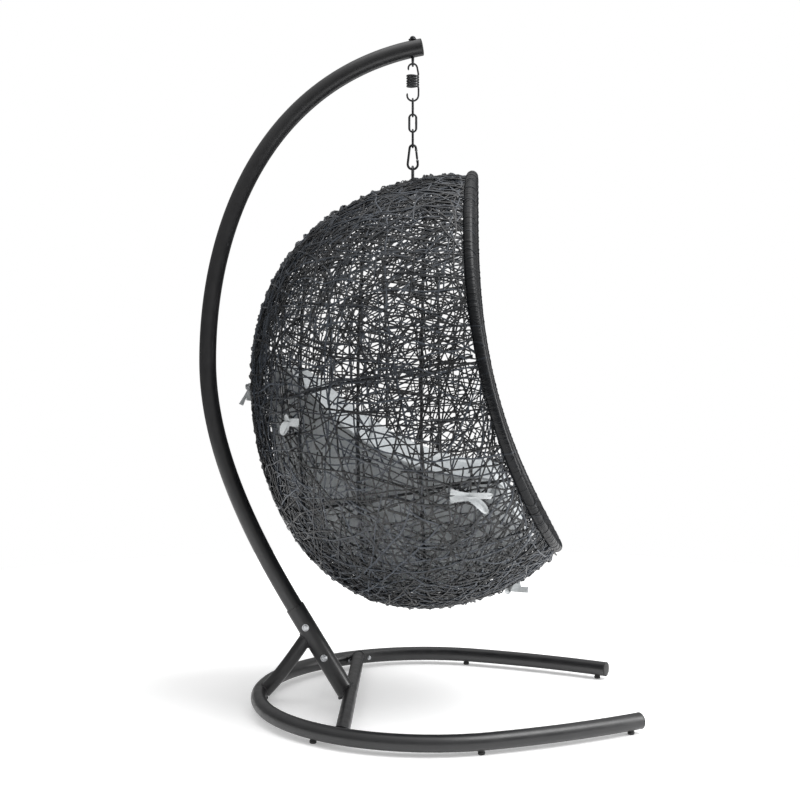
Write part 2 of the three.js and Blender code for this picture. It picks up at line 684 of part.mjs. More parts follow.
// The closed eye that the snap hook holds, standing on the spine through the weave.
function makeSeatEye() {
  const length = CROWN_Z.seat_eye - SPINE_TOP_Z - SEAT_EYE_WIRE - 2 * GAP;
  const loop = linkLoop(SEAT_EYE_HALF_WIDTH, SEAT_EYE_HALF_WIDTH, length, Y_AXIS);
  return loopTube(loop, SEAT_EYE_WIRE, 24, WIRE_SIDES, X_AXIS).translate(0, 0, CROWN_Z.seat_eye);
}

// ---------------------------------------------------------------- weave and cushion

// A closed skin: rings from a pole out to an edge, and back to the pole on its other face.
function skin(directionAt, edgeAt, outerInset, innerInset, rings, segments) {
  const rows = 2 * rings + 1;
  const edges = Array.from({ length: segments }, (_, i) => edgeAt((2 * Math.PI * i) / segments));
  const surface = (u, v, target) => {
    const i = Math.round(u * segments) % segments;
    const row = Math.round(v * rows);
    const inner = row > rings;
    const part = (inner ? rows - row : row) / rings;
    const direction = directionAt(part * edges[i], (2 * Math.PI * i) / segments);
    target.copy(eggPoint(direction, inner ? innerInset(part) : outerInset(part)));
  };
  return new ParametricGeometry(surface, segments, rows);
}

function makeWeave() {
  const edge = (turn) => edgeAngle((angle) => {
    const place = eggPoint(fromBack(angle, turn), 0);
    return place.x - rimX(place.z) + RIM_CLEARANCE;
  });
  const shell = skin(fromBack, edge, () => 0, () => WEAVE_THICKNESS, 12, 40);
  const { play, depth } = SEAT_EYE_SLOT;
  const halfWidth = SEAT_EYE_HALF_WIDTH + SEAT_EYE_WIRE + play;
  const slot = new THREE.BoxGeometry(2 * (SEAT_EYE_WIRE + play), 2 * halfWidth, depth);
  return cut(shell, slot.translate(0, 0, CROWN_Z.seat_eye - depth / 2));
}

const smoothMax = (values, softness) => {
  const total = values.reduce((sum, value) => sum + Math.exp(value / softness), 0);
  return softness * Math.log(total);
};

function makeCushion() {
  const second = Y_AXIS.clone().cross(CUSHION_AXIS);
  const directionAt = (angle, turn) => tilted(CUSHION_AXIS, Y_AXIS, second, angle, turn);
  const edge = (turn) => edgeAngle((angle) => {
    const { x, z } = eggPoint(directionAt(angle, turn), CUSHION_INSET);
    const wing = CUSHION_WING_Z + CUSHION_WING_CURVE * Math.min(x - CUSHION_WING_X, 0) ** 2;
    return smoothMax([z - wing, z - CUSHION_BACK_Z, x - rimX(z) + CUSHION_RIM_SETBACK], CUSHION_CORNER);
  }, 0.8 * Math.PI);
  const outer = (part) => CUSHION_INSET + CUSHION_EDGE_ROUND * part ** 10;
  const crown = (part) => (CUSHION_THICKNESS - CUSHION_EDGE) * Math.sqrt(1 - part ** 6);
  const inner = (part) => CUSHION_INSET + CUSHION_EDGE + crown(part);
  return skin(directionAt, edge, outer, inner, 7, 28);
}

// ---------------------------------------------------------------- cushion ties

// A knotted ribbon outside the weave, lying along the egg.
function makeTie({ turn, z }) {
  const angle = THREE.MathUtils.degToRad(turn);
  const s = (z - EGG_MIDDLE.z) / EGG_HALF.z;
  const c = Math.sqrt(1 - s * s);
  const direction = point(-c * Math.cos(angle), c * Math.sin(angle), s);
  const out = eggNormal(direction);
  const along = Math.abs(turn) === 180 ? Y_AXIS.clone() : Z_AXIS.clone().cross(out).normalize();
  const up = out.clone().cross(along);
  const knot = new THREE.BoxGeometry(TIE.length, TIE.width, TIE.thickness);
  knot.applyMatrix4(new THREE.Matrix4().makeBasis(along, up, out));
  const place = eggPoint(direction, 0).addScaledVector(out, TIE.standoff);
  return knot.translate(...place.toArray());
}

// ---------------------------------------------------------------- assembly

const chair = new THREE.Group();
const stand = new THREE.Group();
for (const side of SIDES) {
  stand.add(node(`base_arm_${side}`, makeArm(side), POWDER_COAT));
  stand.add(node(`arm_tip_cap_${side}`, makeArmCap(side), BLACK_PLASTIC));
  stand.add(node(`bar_saddle_${side}`, makeSaddle(side), POWDER_COAT));
  for (const [place, fraction] of Object.entries(FOOT_AT)) {
    stand.add(node(`foot_${place}_${side}`, makeFoot(side, fraction), BLACK_PLASTIC));
  }
  for (const [place, offset] of Object.entries(SADDLE_SCREW_AT)) {
    stand.add(node(`saddle_screw_${place}_${side}`, makeSaddleScrew(side, offset), ZINC));
  }
}
stand.add(node('base_joiner', makeJoiner(), POWDER_COAT));
stand.add(node('cross_bar', makeCrossBar(), POWDER_COAT));
stand.add(node('socket_tube', makeSocket(), POWDER_COAT));
stand.add(node('rear_strut', makeStrut(), POWDER_COAT));
stand.add(node('pole', makePole(), POWDER_COAT));
stand.add(node('pole_end_cap', makePoleCap(), BLACK_PLASTIC));
for (const [place, distance] of Object.entries(SOCKET_BOLTS)) {
  stand.add(node(`socket_bolt_${place}`, makeBolt(distance), ZINC));
  stand.add(node(`socket_nut_${place}`, makeNut(distance), ZINC));
}
stand.add(node('eye_bolt', makeEyeBolt(), BLACK_STEEL));
stand.add(node('eye_bolt_dome_nut', makeDomeNut(), ZINC));
chair.add(stand);

const chain = new THREE.Group();
chain.add(node('hanging_spring', makeSpring(), BLACK_STEEL));
chain.add(node('chain_link_upper', makeLink(CROWN_Z.link_upper, Y_AXIS, X_AXIS), BLACK_STEEL));
chain.add(node('chain_link_middle', makeLink(CROWN_Z.link_middle, X_AXIS, Y_AXIS), BLACK_STEEL));
chain.add(node('chain_link_lower', makeLink(CROWN_Z.link_lower, Y_AXIS, X_AXIS), BLACK_STEEL));
chain.add(node('snap_hook', makeSnapHook(), BLACK_STEEL));
chain.add(node('snap_gate', makeSnapGate(), BLACK_STEEL));
chair.add(chain);

const seat = new THREE.Group();
seat.rotation.z = SEAT_YAW;
seat.add(node('rim_hoop', makeRim(), RATTAN));
seat.add(node('spine_rib', makeSpine(), BLACK_STEEL));
for (const [place, x] of Object.entries(HOOP_RIB_X)) {
  seat.add(node(`hoop_rib_${place}`, makeHoopRib(x), BLACK_STEEL));
}
for (const [place, z] of Object.entries(SIDE_RIB_Z)) {
  seat.add(node(`side_rib_${place}`, makeSideRib(z), BLACK_STEEL));
}
seat.add(node('seat_eye', makeSeatEye(), BLACK_STEEL));
seat.add(node('basket_weave', makeWeave(), RATTAN));
seat.add(node('seat_cushion', makeCushion(), CUSHION_FABRIC));
for (const [place, where] of Object.entries(TIE_PLACES)) {
  seat.add(node(`cushion_tie_${place}`, makeTie(where), TIE_FABRIC));
}
chair.add(seat);

export default chair;
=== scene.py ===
"""Hanging egg chair: the visible surfaces and finishes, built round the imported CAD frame.

Metres, +Z up, +X towards the open front of the seat. Each piece rides on the CAD body that carries it.
"""
import math

import bpy
import numpy as np
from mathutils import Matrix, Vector
from mathutils.bvhtree import BVHTree


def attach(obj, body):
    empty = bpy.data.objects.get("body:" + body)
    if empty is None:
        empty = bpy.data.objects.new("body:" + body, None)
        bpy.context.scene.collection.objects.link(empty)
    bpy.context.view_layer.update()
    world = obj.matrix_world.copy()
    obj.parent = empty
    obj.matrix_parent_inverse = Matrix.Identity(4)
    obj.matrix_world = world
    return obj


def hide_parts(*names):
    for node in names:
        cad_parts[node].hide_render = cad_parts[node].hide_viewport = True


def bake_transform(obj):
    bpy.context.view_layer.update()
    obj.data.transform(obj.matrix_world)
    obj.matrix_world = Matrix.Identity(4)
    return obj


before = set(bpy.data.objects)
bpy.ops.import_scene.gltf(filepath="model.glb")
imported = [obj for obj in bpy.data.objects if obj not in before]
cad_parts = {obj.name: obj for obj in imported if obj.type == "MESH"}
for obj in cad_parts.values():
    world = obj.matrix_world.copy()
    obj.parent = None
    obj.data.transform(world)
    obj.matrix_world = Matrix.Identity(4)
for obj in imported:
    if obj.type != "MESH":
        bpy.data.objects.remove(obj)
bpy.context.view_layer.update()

DEGREE = math.pi / 180
RANDOM = np.random.default_rng(20)

X_AXIS, Y_AXIS, Z_AXIS = np.eye(3)

# ------------------------------------------------------------------ driving dimensions

SIDES = {"right": -1, "left": 1}

# base
ARM_RADIUS = 0.0225
ARM_Z = 0.0329
HOOP_CENTRE_X = 0.048
HOOP_RADIUS = 0.502
HOOP_END_ANGLE = 72 * DEGREE
ARM_FRONT_RADIUS = 2.040
ARM_FRONT_LENGTH = 0.455
BACK_ARC = HOOP_RADIUS * (math.pi - HOOP_END_ANGLE)
ARM_LENGTH = BACK_ARC + ARM_FRONT_LENGTH
CROSS_BAR_RADIUS = 0.020
CROSS_BAR_X = -0.183
CROSS_BAR_PLACE = np.array([CROSS_BAR_X, 0, 0.036])
SADDLE = {"half_length": 0.056, "thickness": 0.003, "half_height": 0.014, "taper": 0.012, "gap": 0.0006}
SADDLE_SCREW_AT = {"rear": -0.047, "front": 0.028}

# socket, strut and pole
SOCKET_TOP = np.array([-0.350, 0, 0.2855])
SOCKET_FOOT = np.array([-0.196, 0, 0.031])
SOCKET_RADIUS = 0.028
SOCKET_WALL = 0.0019
SOCKET_BOLTS = {"upper": 0.066, "lower": 0.171}
STRUT_RADIUS = 0.020
STRUT_LINE = np.array([[-0.440, 0, 0.034], [-0.392, 0, 0.084], [-0.310, 0, 0.201]])
POLE_RADIUS = 0.025
POLE_TOP = np.array([0.025, 0, 1.938])
POLE_OUT = np.array([math.cos(10.5 * DEGREE), 0, math.sin(10.5 * DEGREE)])
POLE_BACK = np.array([-0.6073, 0, 1.014])
POLE_HANDLES = [0.452, 0.420, 0.232, 0.300]

# hardware on the hang axis
EYE_WIRE = 0.003
EYE_SHANK_SWELL = 0.0013
EYE_RING = 0.0102
EYE_LOW_Z = 1.8835
NUT_SEAT_Z = 1.9595
SPRING_WIRE = 0.0032
SPRING_WIRE_WORN = 0.0027  # the drawn wire, thin enough to show the gaps between the turns
SPRING_COIL = {"radius": 0.017, "top": 1.8575, "low": 1.820, "turns": 5}
SPRING_HOOK_RADIUS = 0.0136
SPRING_LOOP_RADIUS = 0.017
SPRING_LOOP_Z = 1.780
LINK_WIRE = 0.0028
LINK_HALF_WIDTH = 0.0102
LINK_PITCH = 0.0514
LINK_LEG_SWELL = 0.22
SNAP = {"wire": 0.0035, "length": 0.071, "top": 0.0093, "low": 0.015, "nose": -0.08, "heel": 3.62}
SNAP_GATE = {"heel": 3.64, "nose": 3.90, "radius": 0.0033}
SEAT_EYE_WIRE = 0.0035
SEAT_EYE_HALF_WIDTH = 0.0135
GAP = 0.0004

# seat
SEAT_YAW = -4 * DEGREE
CROWN_SINK = 0.008
EGG_TOP = np.array([0.214, 1.567])
EGG_FOOT = np.array([0.028, 0.290])
EGG_MIDDLE = (EGG_TOP + EGG_FOOT) / 2
EGG_HALF = (EGG_TOP - EGG_FOOT) / 2
EGG_DEPTH = 0.598
EGG_WIDTH = 0.465
EGG_DEPTH_GROWTH = [0.19, 0.114]
EGG_WIDTH_GROWTH = -0.07
WEAVE_THICKNESS = 0.008
RIM_Z = [0.460, 1.580]
RIM_X = [0.432, 0.199, 0.159, 0.177]
RIM_RADIUS = 0.016
RIM_INSET = 0.006
RIB_RADIUS = 0.004
SPINE_INSET = 0.016
HOOP_RIB_INSET = 0.027
SIDE_RIB_INSET = 0.038
HOOP_RIB_X = {"rear": -0.285, "middle": -0.115, "front": 0.055}
SIDE_RIB_Z = {"upper": 0.985, "lower": 0.640}
SIDE_RIB_SLOPE = 0.2

# cushion
CUSHION_INSET = 0.046
CUSHION_THICKNESS = 0.100
CUSHION_EDGE = 0.019
CUSHION_EDGE_ROUND = 0.018
CUSHION_AXIS = np.array([-0.4, 0, -0.92]) / math.hypot(0.4, 0.92)
CUSHION_WING = {"z": 0.725, "x": 0.230, "curve": 0.9}
CUSHION_BACK_Z = 1.045
CUSHION_RIM_SETBACK = 0.034
CUSHION_CORNER = 0.015

# ------------------------------------------------------------------ arrays and curves


def unit(vectors):
    """The same vectors with length one."""
    return vectors / np.linalg.norm(vectors, axis=-1, keepdims=True)


def bezier(a, b, c, d, count):
    t = np.linspace(0, 1, count)[:, None]
    r = 1 - t
    return a * r ** 3 + 3 * b * r * r * t + 3 * c * r * t * t + d * t ** 3


def lengths_along(points):
    steps = np.linalg.norm(np.diff(points, axis=0), axis=1)
    return np.concatenate([[0], np.cumsum(steps)])


def resample(points, count):
    """The same line with its points evenly spaced."""
    run = lengths_along(points)
    wanted = np.linspace(0, run[-1], count)
    return np.stack([np.interp(wanted, run, points[:, i]) for i in range(3)], axis=1)


def smoothed(points, passes):
    """A line with its kinks rounded off; its ends stay."""
    points = points.copy()
    for _ in range(passes):
        points[1:-1] += 0.5 * (points[:-2] / 2 + points[2:] / 2 - points[1:-1])
    return points


def smoothstep(low, high, value):
    t = np.clip((value - low) / (high - low), 0, 1)
    return t * t * (3 - 2 * t)


def wobble(count, step, wavelength, amplitude):
    """A smooth random run of numbers, one for each point of a line with that step."""
    knots = max(4, int(count * step / wavelength) + 3)
    values = RANDOM.normal(0, amplitude, knots)
    place = np.linspace(0, knots - 1, count)
    low = np.minimum(place.astype(int), knots - 2)
    part = smoothstep(0, 1, place - low)
    return values[low] * (1 - part) + values[low + 1] * part


# ------------------------------------------------------------------ meshes


class Shape:
    """Vertices and faces of one piece, gathered from several parts. Each part has a tone from 0 to 1."""

    def __init__(self):
        self.points = []
        self.faces = []
        self.tones = []
        self.count = 0

    def add(self, points, faces, tone=0.5):
        self.points.append(np.asarray(points, float).reshape(-1, 3))
        self.faces.extend([[i + self.count for i in face] for face in faces])
        self.tones.append(np.full(len(self.points[-1]), tone) if np.isscalar(tone) else tone)
        self.count += len(self.points[-1])

    def build(self, name, material, sharp=40):
        mesh = bpy.data.meshes.new(name)
        mesh.from_pydata(np.concatenate(self.points).tolist(), [], self.faces)
        tone = mesh.attributes.new("tone", "FLOAT", "POINT")
        tone.data.foreach_set("value", np.concatenate(self.tones).astype(np.float32))
        mesh.materials.append(material)
        mesh.shade_smooth()
        mesh.set_sharp_from_angle(angle=sharp * DEGREE)
        made = bpy.data.objects.new(name, mesh)
        bpy.context.scene.collection.objects.link(made)
        return made


def place(piece, body, slot, *nodes):
    """Puts a piece on its body, in place of the CAD nodes that it stands for."""
    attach(piece, body)
    if nodes:
        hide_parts(*nodes)


def put(shape, name, body, finish, *nodes, slot=None, sharp=40):
    """Builds a shape in a finish and places it. The slot argument is not used."""
    place(shape.build(name, MATERIAL[finish], sharp), body, slot or finish, *nodes)


def put_tube(name, node, line, radius, sides=32, up=Y_AXIS):
    """One tube of the stand."""
    shape = Shape()
    add_tube(shape, line, radius, sides, up)
    put(shape, name, "stand", "powder_coat", node)


def ring_faces(rings, sides, closed=False):
    """Quads between successive rings of points, and the end faces of an open run."""
    faces = []
    last = rings if closed else rings - 1
    for i in range(last):
        a, b = i * sides, ((i + 1) % rings) * sides
        faces.extend([a + j, a + (j + 1) % sides, b + (j + 1) % sides, b + j] for j in range(sides))
    if not closed:
        faces.append(list(range(sides))[::-1])
        faces.append([(rings - 1) * sides + j for j in range(sides)])
    return faces


def directions_along(points, closed=False):
    if closed:
        return unit(np.roll(points, -1, axis=0) - np.roll(points, 1, axis=0))
    return unit(np.gradient(points, axis=0))


def frames_along(points, first_up, closed=False):
    """The along, across and up directions at each point, turning as little as they can."""
    along = directions_along(points, closed)
    up = np.empty_like(along)
    current = np.asarray(first_up, float)
    for i, direction in enumerate(along):
        current = unit(current - direction * current.dot(direction))
        up[i] = current
    return along, np.cross(along, up), up


def swept(points, across, up, outline, closed=False):
    """Points and faces of an outline, given as (across, up) pairs, carried along a line."""
    outline = np.asarray(outline, float)
    if outline.ndim == 2:
        outline = np.broadcast_to(outline, (len(points), *outline.shape))
    rings = points[:, None] + outline[..., :1] * across[:, None] + outline[..., 1:] * up[:, None]
    return rings.reshape(-1, 3), ring_faces(len(points), outline.shape[1], closed)


def circle(radius, sides):
    angles = 2 * math.pi * (np.arange(sides) + 0.5) / sides
    return np.stack([radius * np.cos(angles), radius * np.sin(angles)], axis=1)


def add_tube(shape, points, radius, sides=24, up=Y_AXIS, closed=False):
    """A round tube along a line. The radius is one number, or one for each point."""
    _, across, ups = frames_along(points, up, closed)
    outline = circle(1, sides) * np.broadcast_to(radius, len(points))[:, None, None]
    shape.add(*swept(points, across, ups, outline, closed))


def spokes_round(axis, sides, helper, spin=0.0):
    """Unit directions all round an axis. The first is square to the axis and to the helper."""
    aside = unit(np.cross(axis, helper))
    angles = spin + 2 * math.pi * np.arange(sides) / sides
    return np.cos(angles)[:, None] * aside + np.sin(angles)[:, None] * np.cross(axis, aside)


def add_lathe(shape, profile, origin, axis, sides=32, spin=0.0):
    """A closed profile of (radius, height) pairs turned about an axis."""
    axis = unit(np.asarray(axis, float))
    spokes = spokes_round(axis, sides, X_AXIS if abs(axis[0]) < 0.9 else Y_AXIS, spin)
    rings = [origin + radius * spokes + height * axis for radius, height in profile]
    shape.add(np.array(rings), ring_faces(len(profile), sides))


def add_prism(shape, circumradius, heights, chamfer, origin, axis, spin=0.0):
    """A hexagonal head or nut with its outer corners chamfered."""
    low, high = heights
    flat = circumradius * math.cos(30 * DEGREE)
    profile = [(circumradius, low), (circumradius, high - chamfer), (flat, high)]
    add_lathe(shape, profile, origin, axis, 6, spin)


def add_weld(shape, ring, radius):
    """A bead of weld: a closed tube whose thickness ripples, four points to a ripple."""
    count = len(ring)
    ripple = 1 + 0.16 * np.sin(2 * math.pi * np.arange(count) / 4) + RANDOM.normal(0, 0.06, count)
    add_tube(shape, ring, radius * ripple, sides=8, up=unit(ring[0] - ring.mean(axis=0)), closed=True)


# ------------------------------------------------------------------ materials


class Finish:
    """A Principled material whose colour, roughness and relief come from noise in the object's own space."""

    def __init__(self, name, color, roughness, metallic=0.0, **sockets):
        self.material = bpy.data.materials.new(name)
        self.material.use_nodes = True
        self.material.diffuse_color = (*color, 1)
        self.nodes = self.material.node_tree.nodes
        self.links = self.material.node_tree.links
        self.shader = self.nodes["Principled BSDF"]
        self.shader.inputs["Base Color"].default_value = (*color, 1)
        self.shader.inputs["Roughness"].default_value = roughness
        self.shader.inputs["Metallic"].default_value = metallic
        for socket, value in sockets.items():
            self.shader.inputs[socket.replace("_", " ")].default_value = value
        self.place = self.nodes.new("ShaderNodeTexCoord").outputs["Object"]
        self.normal = None

    def noise(self, scale, detail=3.0):
        texture = self.nodes.new("ShaderNodeTexNoise")
        texture.inputs["Scale"].default_value = scale
        texture.inputs["Detail"].default_value = detail
        self.links.new(self.place, texture.inputs["Vector"])
        return texture.outputs["Fac"]

    def tone(self):
        attribute = self.nodes.new("ShaderNodeAttribute")
        attribute.attribute_name = "tone"
        return attribute.outputs["Fac"]

    def threads(self, pitch, turn):
        """Rows of threads, as bands across the object's space."""
        mapping = self.nodes.new("ShaderNodeMapping")
        mapping.inputs["Rotation"].default_value = turn
        wave = self.nodes.new("ShaderNodeTexWave")
        wave.inputs["Scale"].default_value = 1 / (20 * pitch) * 2 * math.pi
        wave.inputs["Distortion"].default_value = 0.6
        wave.inputs["Detail"].default_value = 1.0
        self.links.new(self.place, mapping.inputs["Vector"])
        self.links.new(mapping.outputs["Vector"], wave.inputs["Vector"])
        return wave.outputs["Fac"]

    def blend(self, kind, a, b):
        node = self.nodes.new("ShaderNodeMath")
        node.operation = kind
        self.links.new(a, node.inputs[0])
        self.links.new(b, node.inputs[1])
        return node.outputs["Value"]

    def ramp(self, source, low, high, stops=(0.3, 0.7)):
        """A value or colour between low and high as the source goes from one stop to the other."""
        node = self.nodes.new("ShaderNodeValToRGB")
        node.color_ramp.elements[0].position = stops[0]
        node.color_ramp.elements[1].position = stops[1]
        for element, value in zip(node.color_ramp.elements, (low, high)):
            element.color = (*value, 1) if np.ndim(value) else (value, value, value, 1)
        self.links.new(source, node.inputs["Fac"])
        return node.outputs["Color"]

    def drive(self, socket, source, low, high, stops=(0.3, 0.7)):
        self.links.new(self.ramp(source, low, high, stops), self.shader.inputs[socket])
        return self

    def relief(self, source, distance, strength=1.0):
        """Adds a height to the surface, on top of what is there already."""
        bump = self.nodes.new("ShaderNodeBump")
        bump.inputs["Strength"].default_value = strength
        bump.inputs["Distance"].default_value = distance
        self.links.new(source, bump.inputs["Height"])
        if self.normal:
            self.links.new(self.normal, bump.inputs["Normal"])
        self.normal = bump.outputs["Normal"]
        self.links.new(self.normal, self.shader.inputs["Normal"])
        return self


def powder_coat():
    """Satin black powder coat: fine orange peel, a little dust and rubbing."""
    coat = Finish("powder_coat", (0.011, 0.011, 0.012), 0.34, Specular_IOR_Level=0.65)
    coat.drive("Base Color", coat.noise(9), (0.008, 0.008, 0.009), (0.014, 0.014, 0.015))
    coat.drive("Roughness", coat.noise(35, 5), 0.29, 0.42)
    return coat.relief(coat.noise(1500, 1), 0.00004, 0.5).material


def black_steel():
    """Black coated steel wire, rubbed a little brighter in patches here and there."""
    steel = Finish("black_steel", (0.022, 0.023, 0.025), 0.32, 0.35)
    steel.drive("Base Color", steel.noise(120, 4), (0.014, 0.015, 0.016), (0.040, 0.042, 0.045))
    steel.drive("Roughness", steel.noise(260, 3), 0.24, 0.42)
    return steel.relief(steel.noise(1400, 2), 0.00006).material


def zinc():
    """Bright zinc plate with fine turning marks."""
    plate = Finish("zinc", (0.62, 0.63, 0.65), 0.26, 1.0)
    plate.drive("Base Color", plate.noise(300, 4), (0.34, 0.35, 0.36), (0.58, 0.59, 0.61))
    plate.drive("Roughness", plate.noise(700, 3), 0.18, 0.38)
    return plate.relief(plate.noise(2500, 1), 0.00004).material


def weld_metal():
    """Weld beads under the same black coat, rougher than the tube."""
    bead = Finish("weld_bead", (0.020, 0.020, 0.022), 0.45)
    bead.drive("Roughness", bead.noise(400, 4), 0.36, 0.6)
    return bead.relief(bead.noise(700, 3), 0.0003).material


def black_plastic():
    """Matte moulded plastic with a fine spark-eroded grain."""
    plastic = Finish("black_plastic", (0.014, 0.014, 0.014), 0.6)
    plastic.drive("Base Color", plastic.noise(60, 3), (0.010, 0.010, 0.010), (0.022, 0.022, 0.022))
    plastic.drive("Roughness", plastic.noise(500, 2), 0.5, 0.72)
    return plastic.relief(plastic.noise(1800, 2), 0.0001).material


def rattan(name="rattan", gloss=0.6, smooth=0.20):
    """Charcoal synthetic strand: each strand has its own shade, with fine grooves and a soft gloss."""
    strand = Finish(name, (0.012, 0.014, 0.017), 0.3, Specular_IOR_Level=gloss)
    shade = strand.ramp(strand.tone(), (0.003, 0.0037, 0.0052), (0.050, 0.060, 0.076), (0.4, 1.0))
    mottle = strand.ramp(strand.noise(45, 4), 0.75, 1.2, (0.35, 0.65))
    mix = strand.nodes.new("ShaderNodeMix")
    mix.data_type = "RGBA"
    mix.blend_type = "MULTIPLY"
    mix.inputs["Factor"].default_value = 1.0
    strand.links.new(shade, mix.inputs["A"])
    strand.links.new(mottle, mix.inputs["B"])
    strand.links.new(mix.outputs["Result"], strand.shader.inputs["Base Color"])
    strand.drive("Roughness", strand.noise(160, 3), smooth, smooth + 0.16)
    return strand.relief(strand.noise(500, 2), 0.00005).material


def woven(name, dark, light, pitch, sheen):
    """Plain-woven cloth: two crossing rows of threads, a mottled yarn and a soft sheen."""
    cloth = Finish(name, light, 0.92, Sheen_Weight=sheen, Sheen_Roughness=0.5)
    rows = cloth.blend("MULTIPLY", cloth.threads(pitch, (0, 0, 0.6)), cloth.threads(pitch, (0, 1.1, 2.2)))
    yarn = cloth.blend("ADD", cloth.noise(420, 3), cloth.noise(170, 2))
    cloth.drive("Base Color", yarn, dark, light, (0.75, 1.2))
    cloth.drive("Roughness", cloth.noise(90, 3), 0.86, 0.98)
    return cloth.relief(rows, pitch / 2, 0.5).relief(cloth.noise(700, 3), 0.0004, 0.7).material


MATERIAL = {
    "powder_coat": powder_coat(),
    "black_steel": black_steel(),
    "zinc": zinc(),
    "weld": weld_metal(),
    "black_plastic": black_plastic(),
    "rattan": rattan(),
    "rim_rattan": rattan("rim_rattan", gloss=0.30, smooth=0.24),
    "cushion_fabric": woven("cushion_fabric", (0.42, 0.445, 0.46), (0.54, 0.565, 0.58), 0.0011, 0.15),
    "tie_fabric": woven("tie_fabric", (0.50, 0.525, 0.535), (0.62, 0.645, 0.655), 0.0009, 0.1),
}

# ------------------------------------------------------------------ camera, floor and light

CAMERA_PLACE = (0.016, -3.528, 0.959)
CAMERA_YAW = 0.87 * DEGREE
CAMERA_PITCH = 0.96 * DEGREE
CAMERA_LENS = 53.7
FLOOR_RADIUS = 3.2
FLOOR_SIDES = 120
ROOM_BRIGHT_SIDE = (0.15, -0.1, 1.0)
ROOM_LEVEL = {"dark": 0.22, "bright": 1.0}


def make_camera():
    data = bpy.data.cameras.new("camera")
    data.lens = CAMERA_LENS
    data.clip_end = 60
    camera = bpy.data.objects.new("camera", data)
    camera.location = CAMERA_PLACE
    camera.rotation_euler = (math.pi / 2 - CAMERA_PITCH, 0, CAMERA_YAW)
    bpy.context.scene.collection.objects.link(camera)
    bpy.context.scene.camera = camera


def make_floor():
    angles = 2 * math.pi * np.arange(FLOOR_SIDES) / FLOOR_SIDES
    edge = FLOOR_RADIUS * np.stack([np.cos(angles), np.sin(angles), 0 * angles], axis=1)
    mesh = bpy.data.meshes.new("studio_floor")
    mesh.from_pydata(edge.tolist(), [], [list(range(len(edge)))])
    paper = Finish("studio_paper", (0.9, 0.9, 0.9), 0.85, Emission_Color=(1, 1, 1, 1), Emission_Strength=0.28)
    paper.drive("Base Color", paper.noise(2), (0.90, 0.90, 0.90), (0.93, 0.93, 0.93))
    mesh.materials.append(paper.material)
    floor = bpy.data.objects.new("studio_floor", mesh)
    bpy.context.scene.collection.objects.link(floor)


def add_light(name, kind, location, target, watts, **settings):
    data = bpy.data.lights.new(name, kind)
    data.energy = watts
    for setting, value in settings.items():
        setattr(data, setting, value)
    light = bpy.data.objects.new(name, data)
    light.location = location
    aim = Vector(target) - Vector(location)
    light.rotation_euler = aim.to_track_quat("-Z", "Y").to_euler()
    bpy.context.scene.collection.objects.link(light)


def make_room():
    """White behind the chair. What lights the chair is dim near the horizon and bright above."""
    world = bpy.data.worlds.new("studio")
    world.use_nodes = True
    nodes, links = world.node_tree.nodes, world.node_tree.links
    facing = nodes.new("ShaderNodeVectorMath")
    facing.operation = "DOT_PRODUCT"
    facing.inputs[1].default_value = unit(np.array(ROOM_BRIGHT_SIDE))
    links.new(nodes.new("ShaderNodeTexCoord").outputs["Generated"], facing.inputs[0])
    level = nodes.new("ShaderNodeMapRange")
    level.inputs["From Min"].default_value = 0.1
    level.inputs["From Max"].default_value = 1.0
    level.inputs["To Min"].default_value = ROOM_LEVEL["dark"]
    level.inputs["To Max"].default_value = ROOM_LEVEL["bright"]
    links.new(facing.outputs["Value"], level.inputs["Value"])
    seen = nodes.new("ShaderNodeMix")
    seen.data_type = "FLOAT"
    seen.inputs["B"].default_value = 1.0
    links.new(nodes.new("ShaderNodeLightPath").outputs["Is Camera Ray"], seen.inputs["Factor"])
    links.new(level.outputs["Result"], seen.inputs["A"])
    background = nodes["Background"]
    background.inputs["Color"].default_value = (1, 1, 1, 1)
    links.new(seen.outputs["Result"], background.inputs["Strength"])
    bpy.context.scene.world = world
    bpy.context.scene.view_settings.view_transform = "Standard"


def make_light():
    """A broad key from the upper right and two softboxes."""
    add_light("key", "SUN", (2.6, -1.0, 4.2), (0, 0, 0), 1.9, angle=36 * DEGREE)
    add_light("softbox_top", "AREA", (0.2, -0.2, 4.0), (0.1, 0, 0.6), 20, size=2.4)
    add_light("softbox_right", "AREA", (4.2, -0.5, 1.5), (0.2, 0, 1.0), 90,
              shape="RECTANGLE", size=1.2, size_y=2.8)


make_camera()
make_floor()
make_room()
make_light()

# ------------------------------------------------------------------ base


def arm_line(side, fractions):
    """The base's outline from above, from the seam at the back (0) to the tip (1)."""
    run = np.asarray(fractions, float) * ARM_LENGTH
    angle = math.pi - np.minimum(run, BACK_ARC) / HOOP_RADIUS
    turn = np.maximum(run - BACK_ARC, 0) / ARM_FRONT_RADIUS
    heading = HOOP_END_ANGLE - math.pi / 2
    x = HOOP_CENTRE_X + HOOP_RADIUS * np.cos(angle)
    x = x + ARM_FRONT_RADIUS * (np.sin(turn - heading) + math.sin(heading))
    y = HOOP_RADIUS * np.sin(angle) + ARM_FRONT_RADIUS * (np.cos(turn - heading) - math.cos(heading))
    return np.stack([x, SIDES[side] * y, np.full_like(x, ARM_Z)], axis=-1)


BAR_AT = (math.pi - math.acos((CROSS_BAR_X - HOOP_CENTRE_X) / HOOP_RADIUS)) * HOOP_RADIUS / ARM_LENGTH
FOOT_AT = {"rear": 0.325, "middle": 0.657, "front": 0.98}
ARM_SEAM = 0.0006  # the fraction of an arm's length that is left open at the rear seam
ARM_POINTS = 180
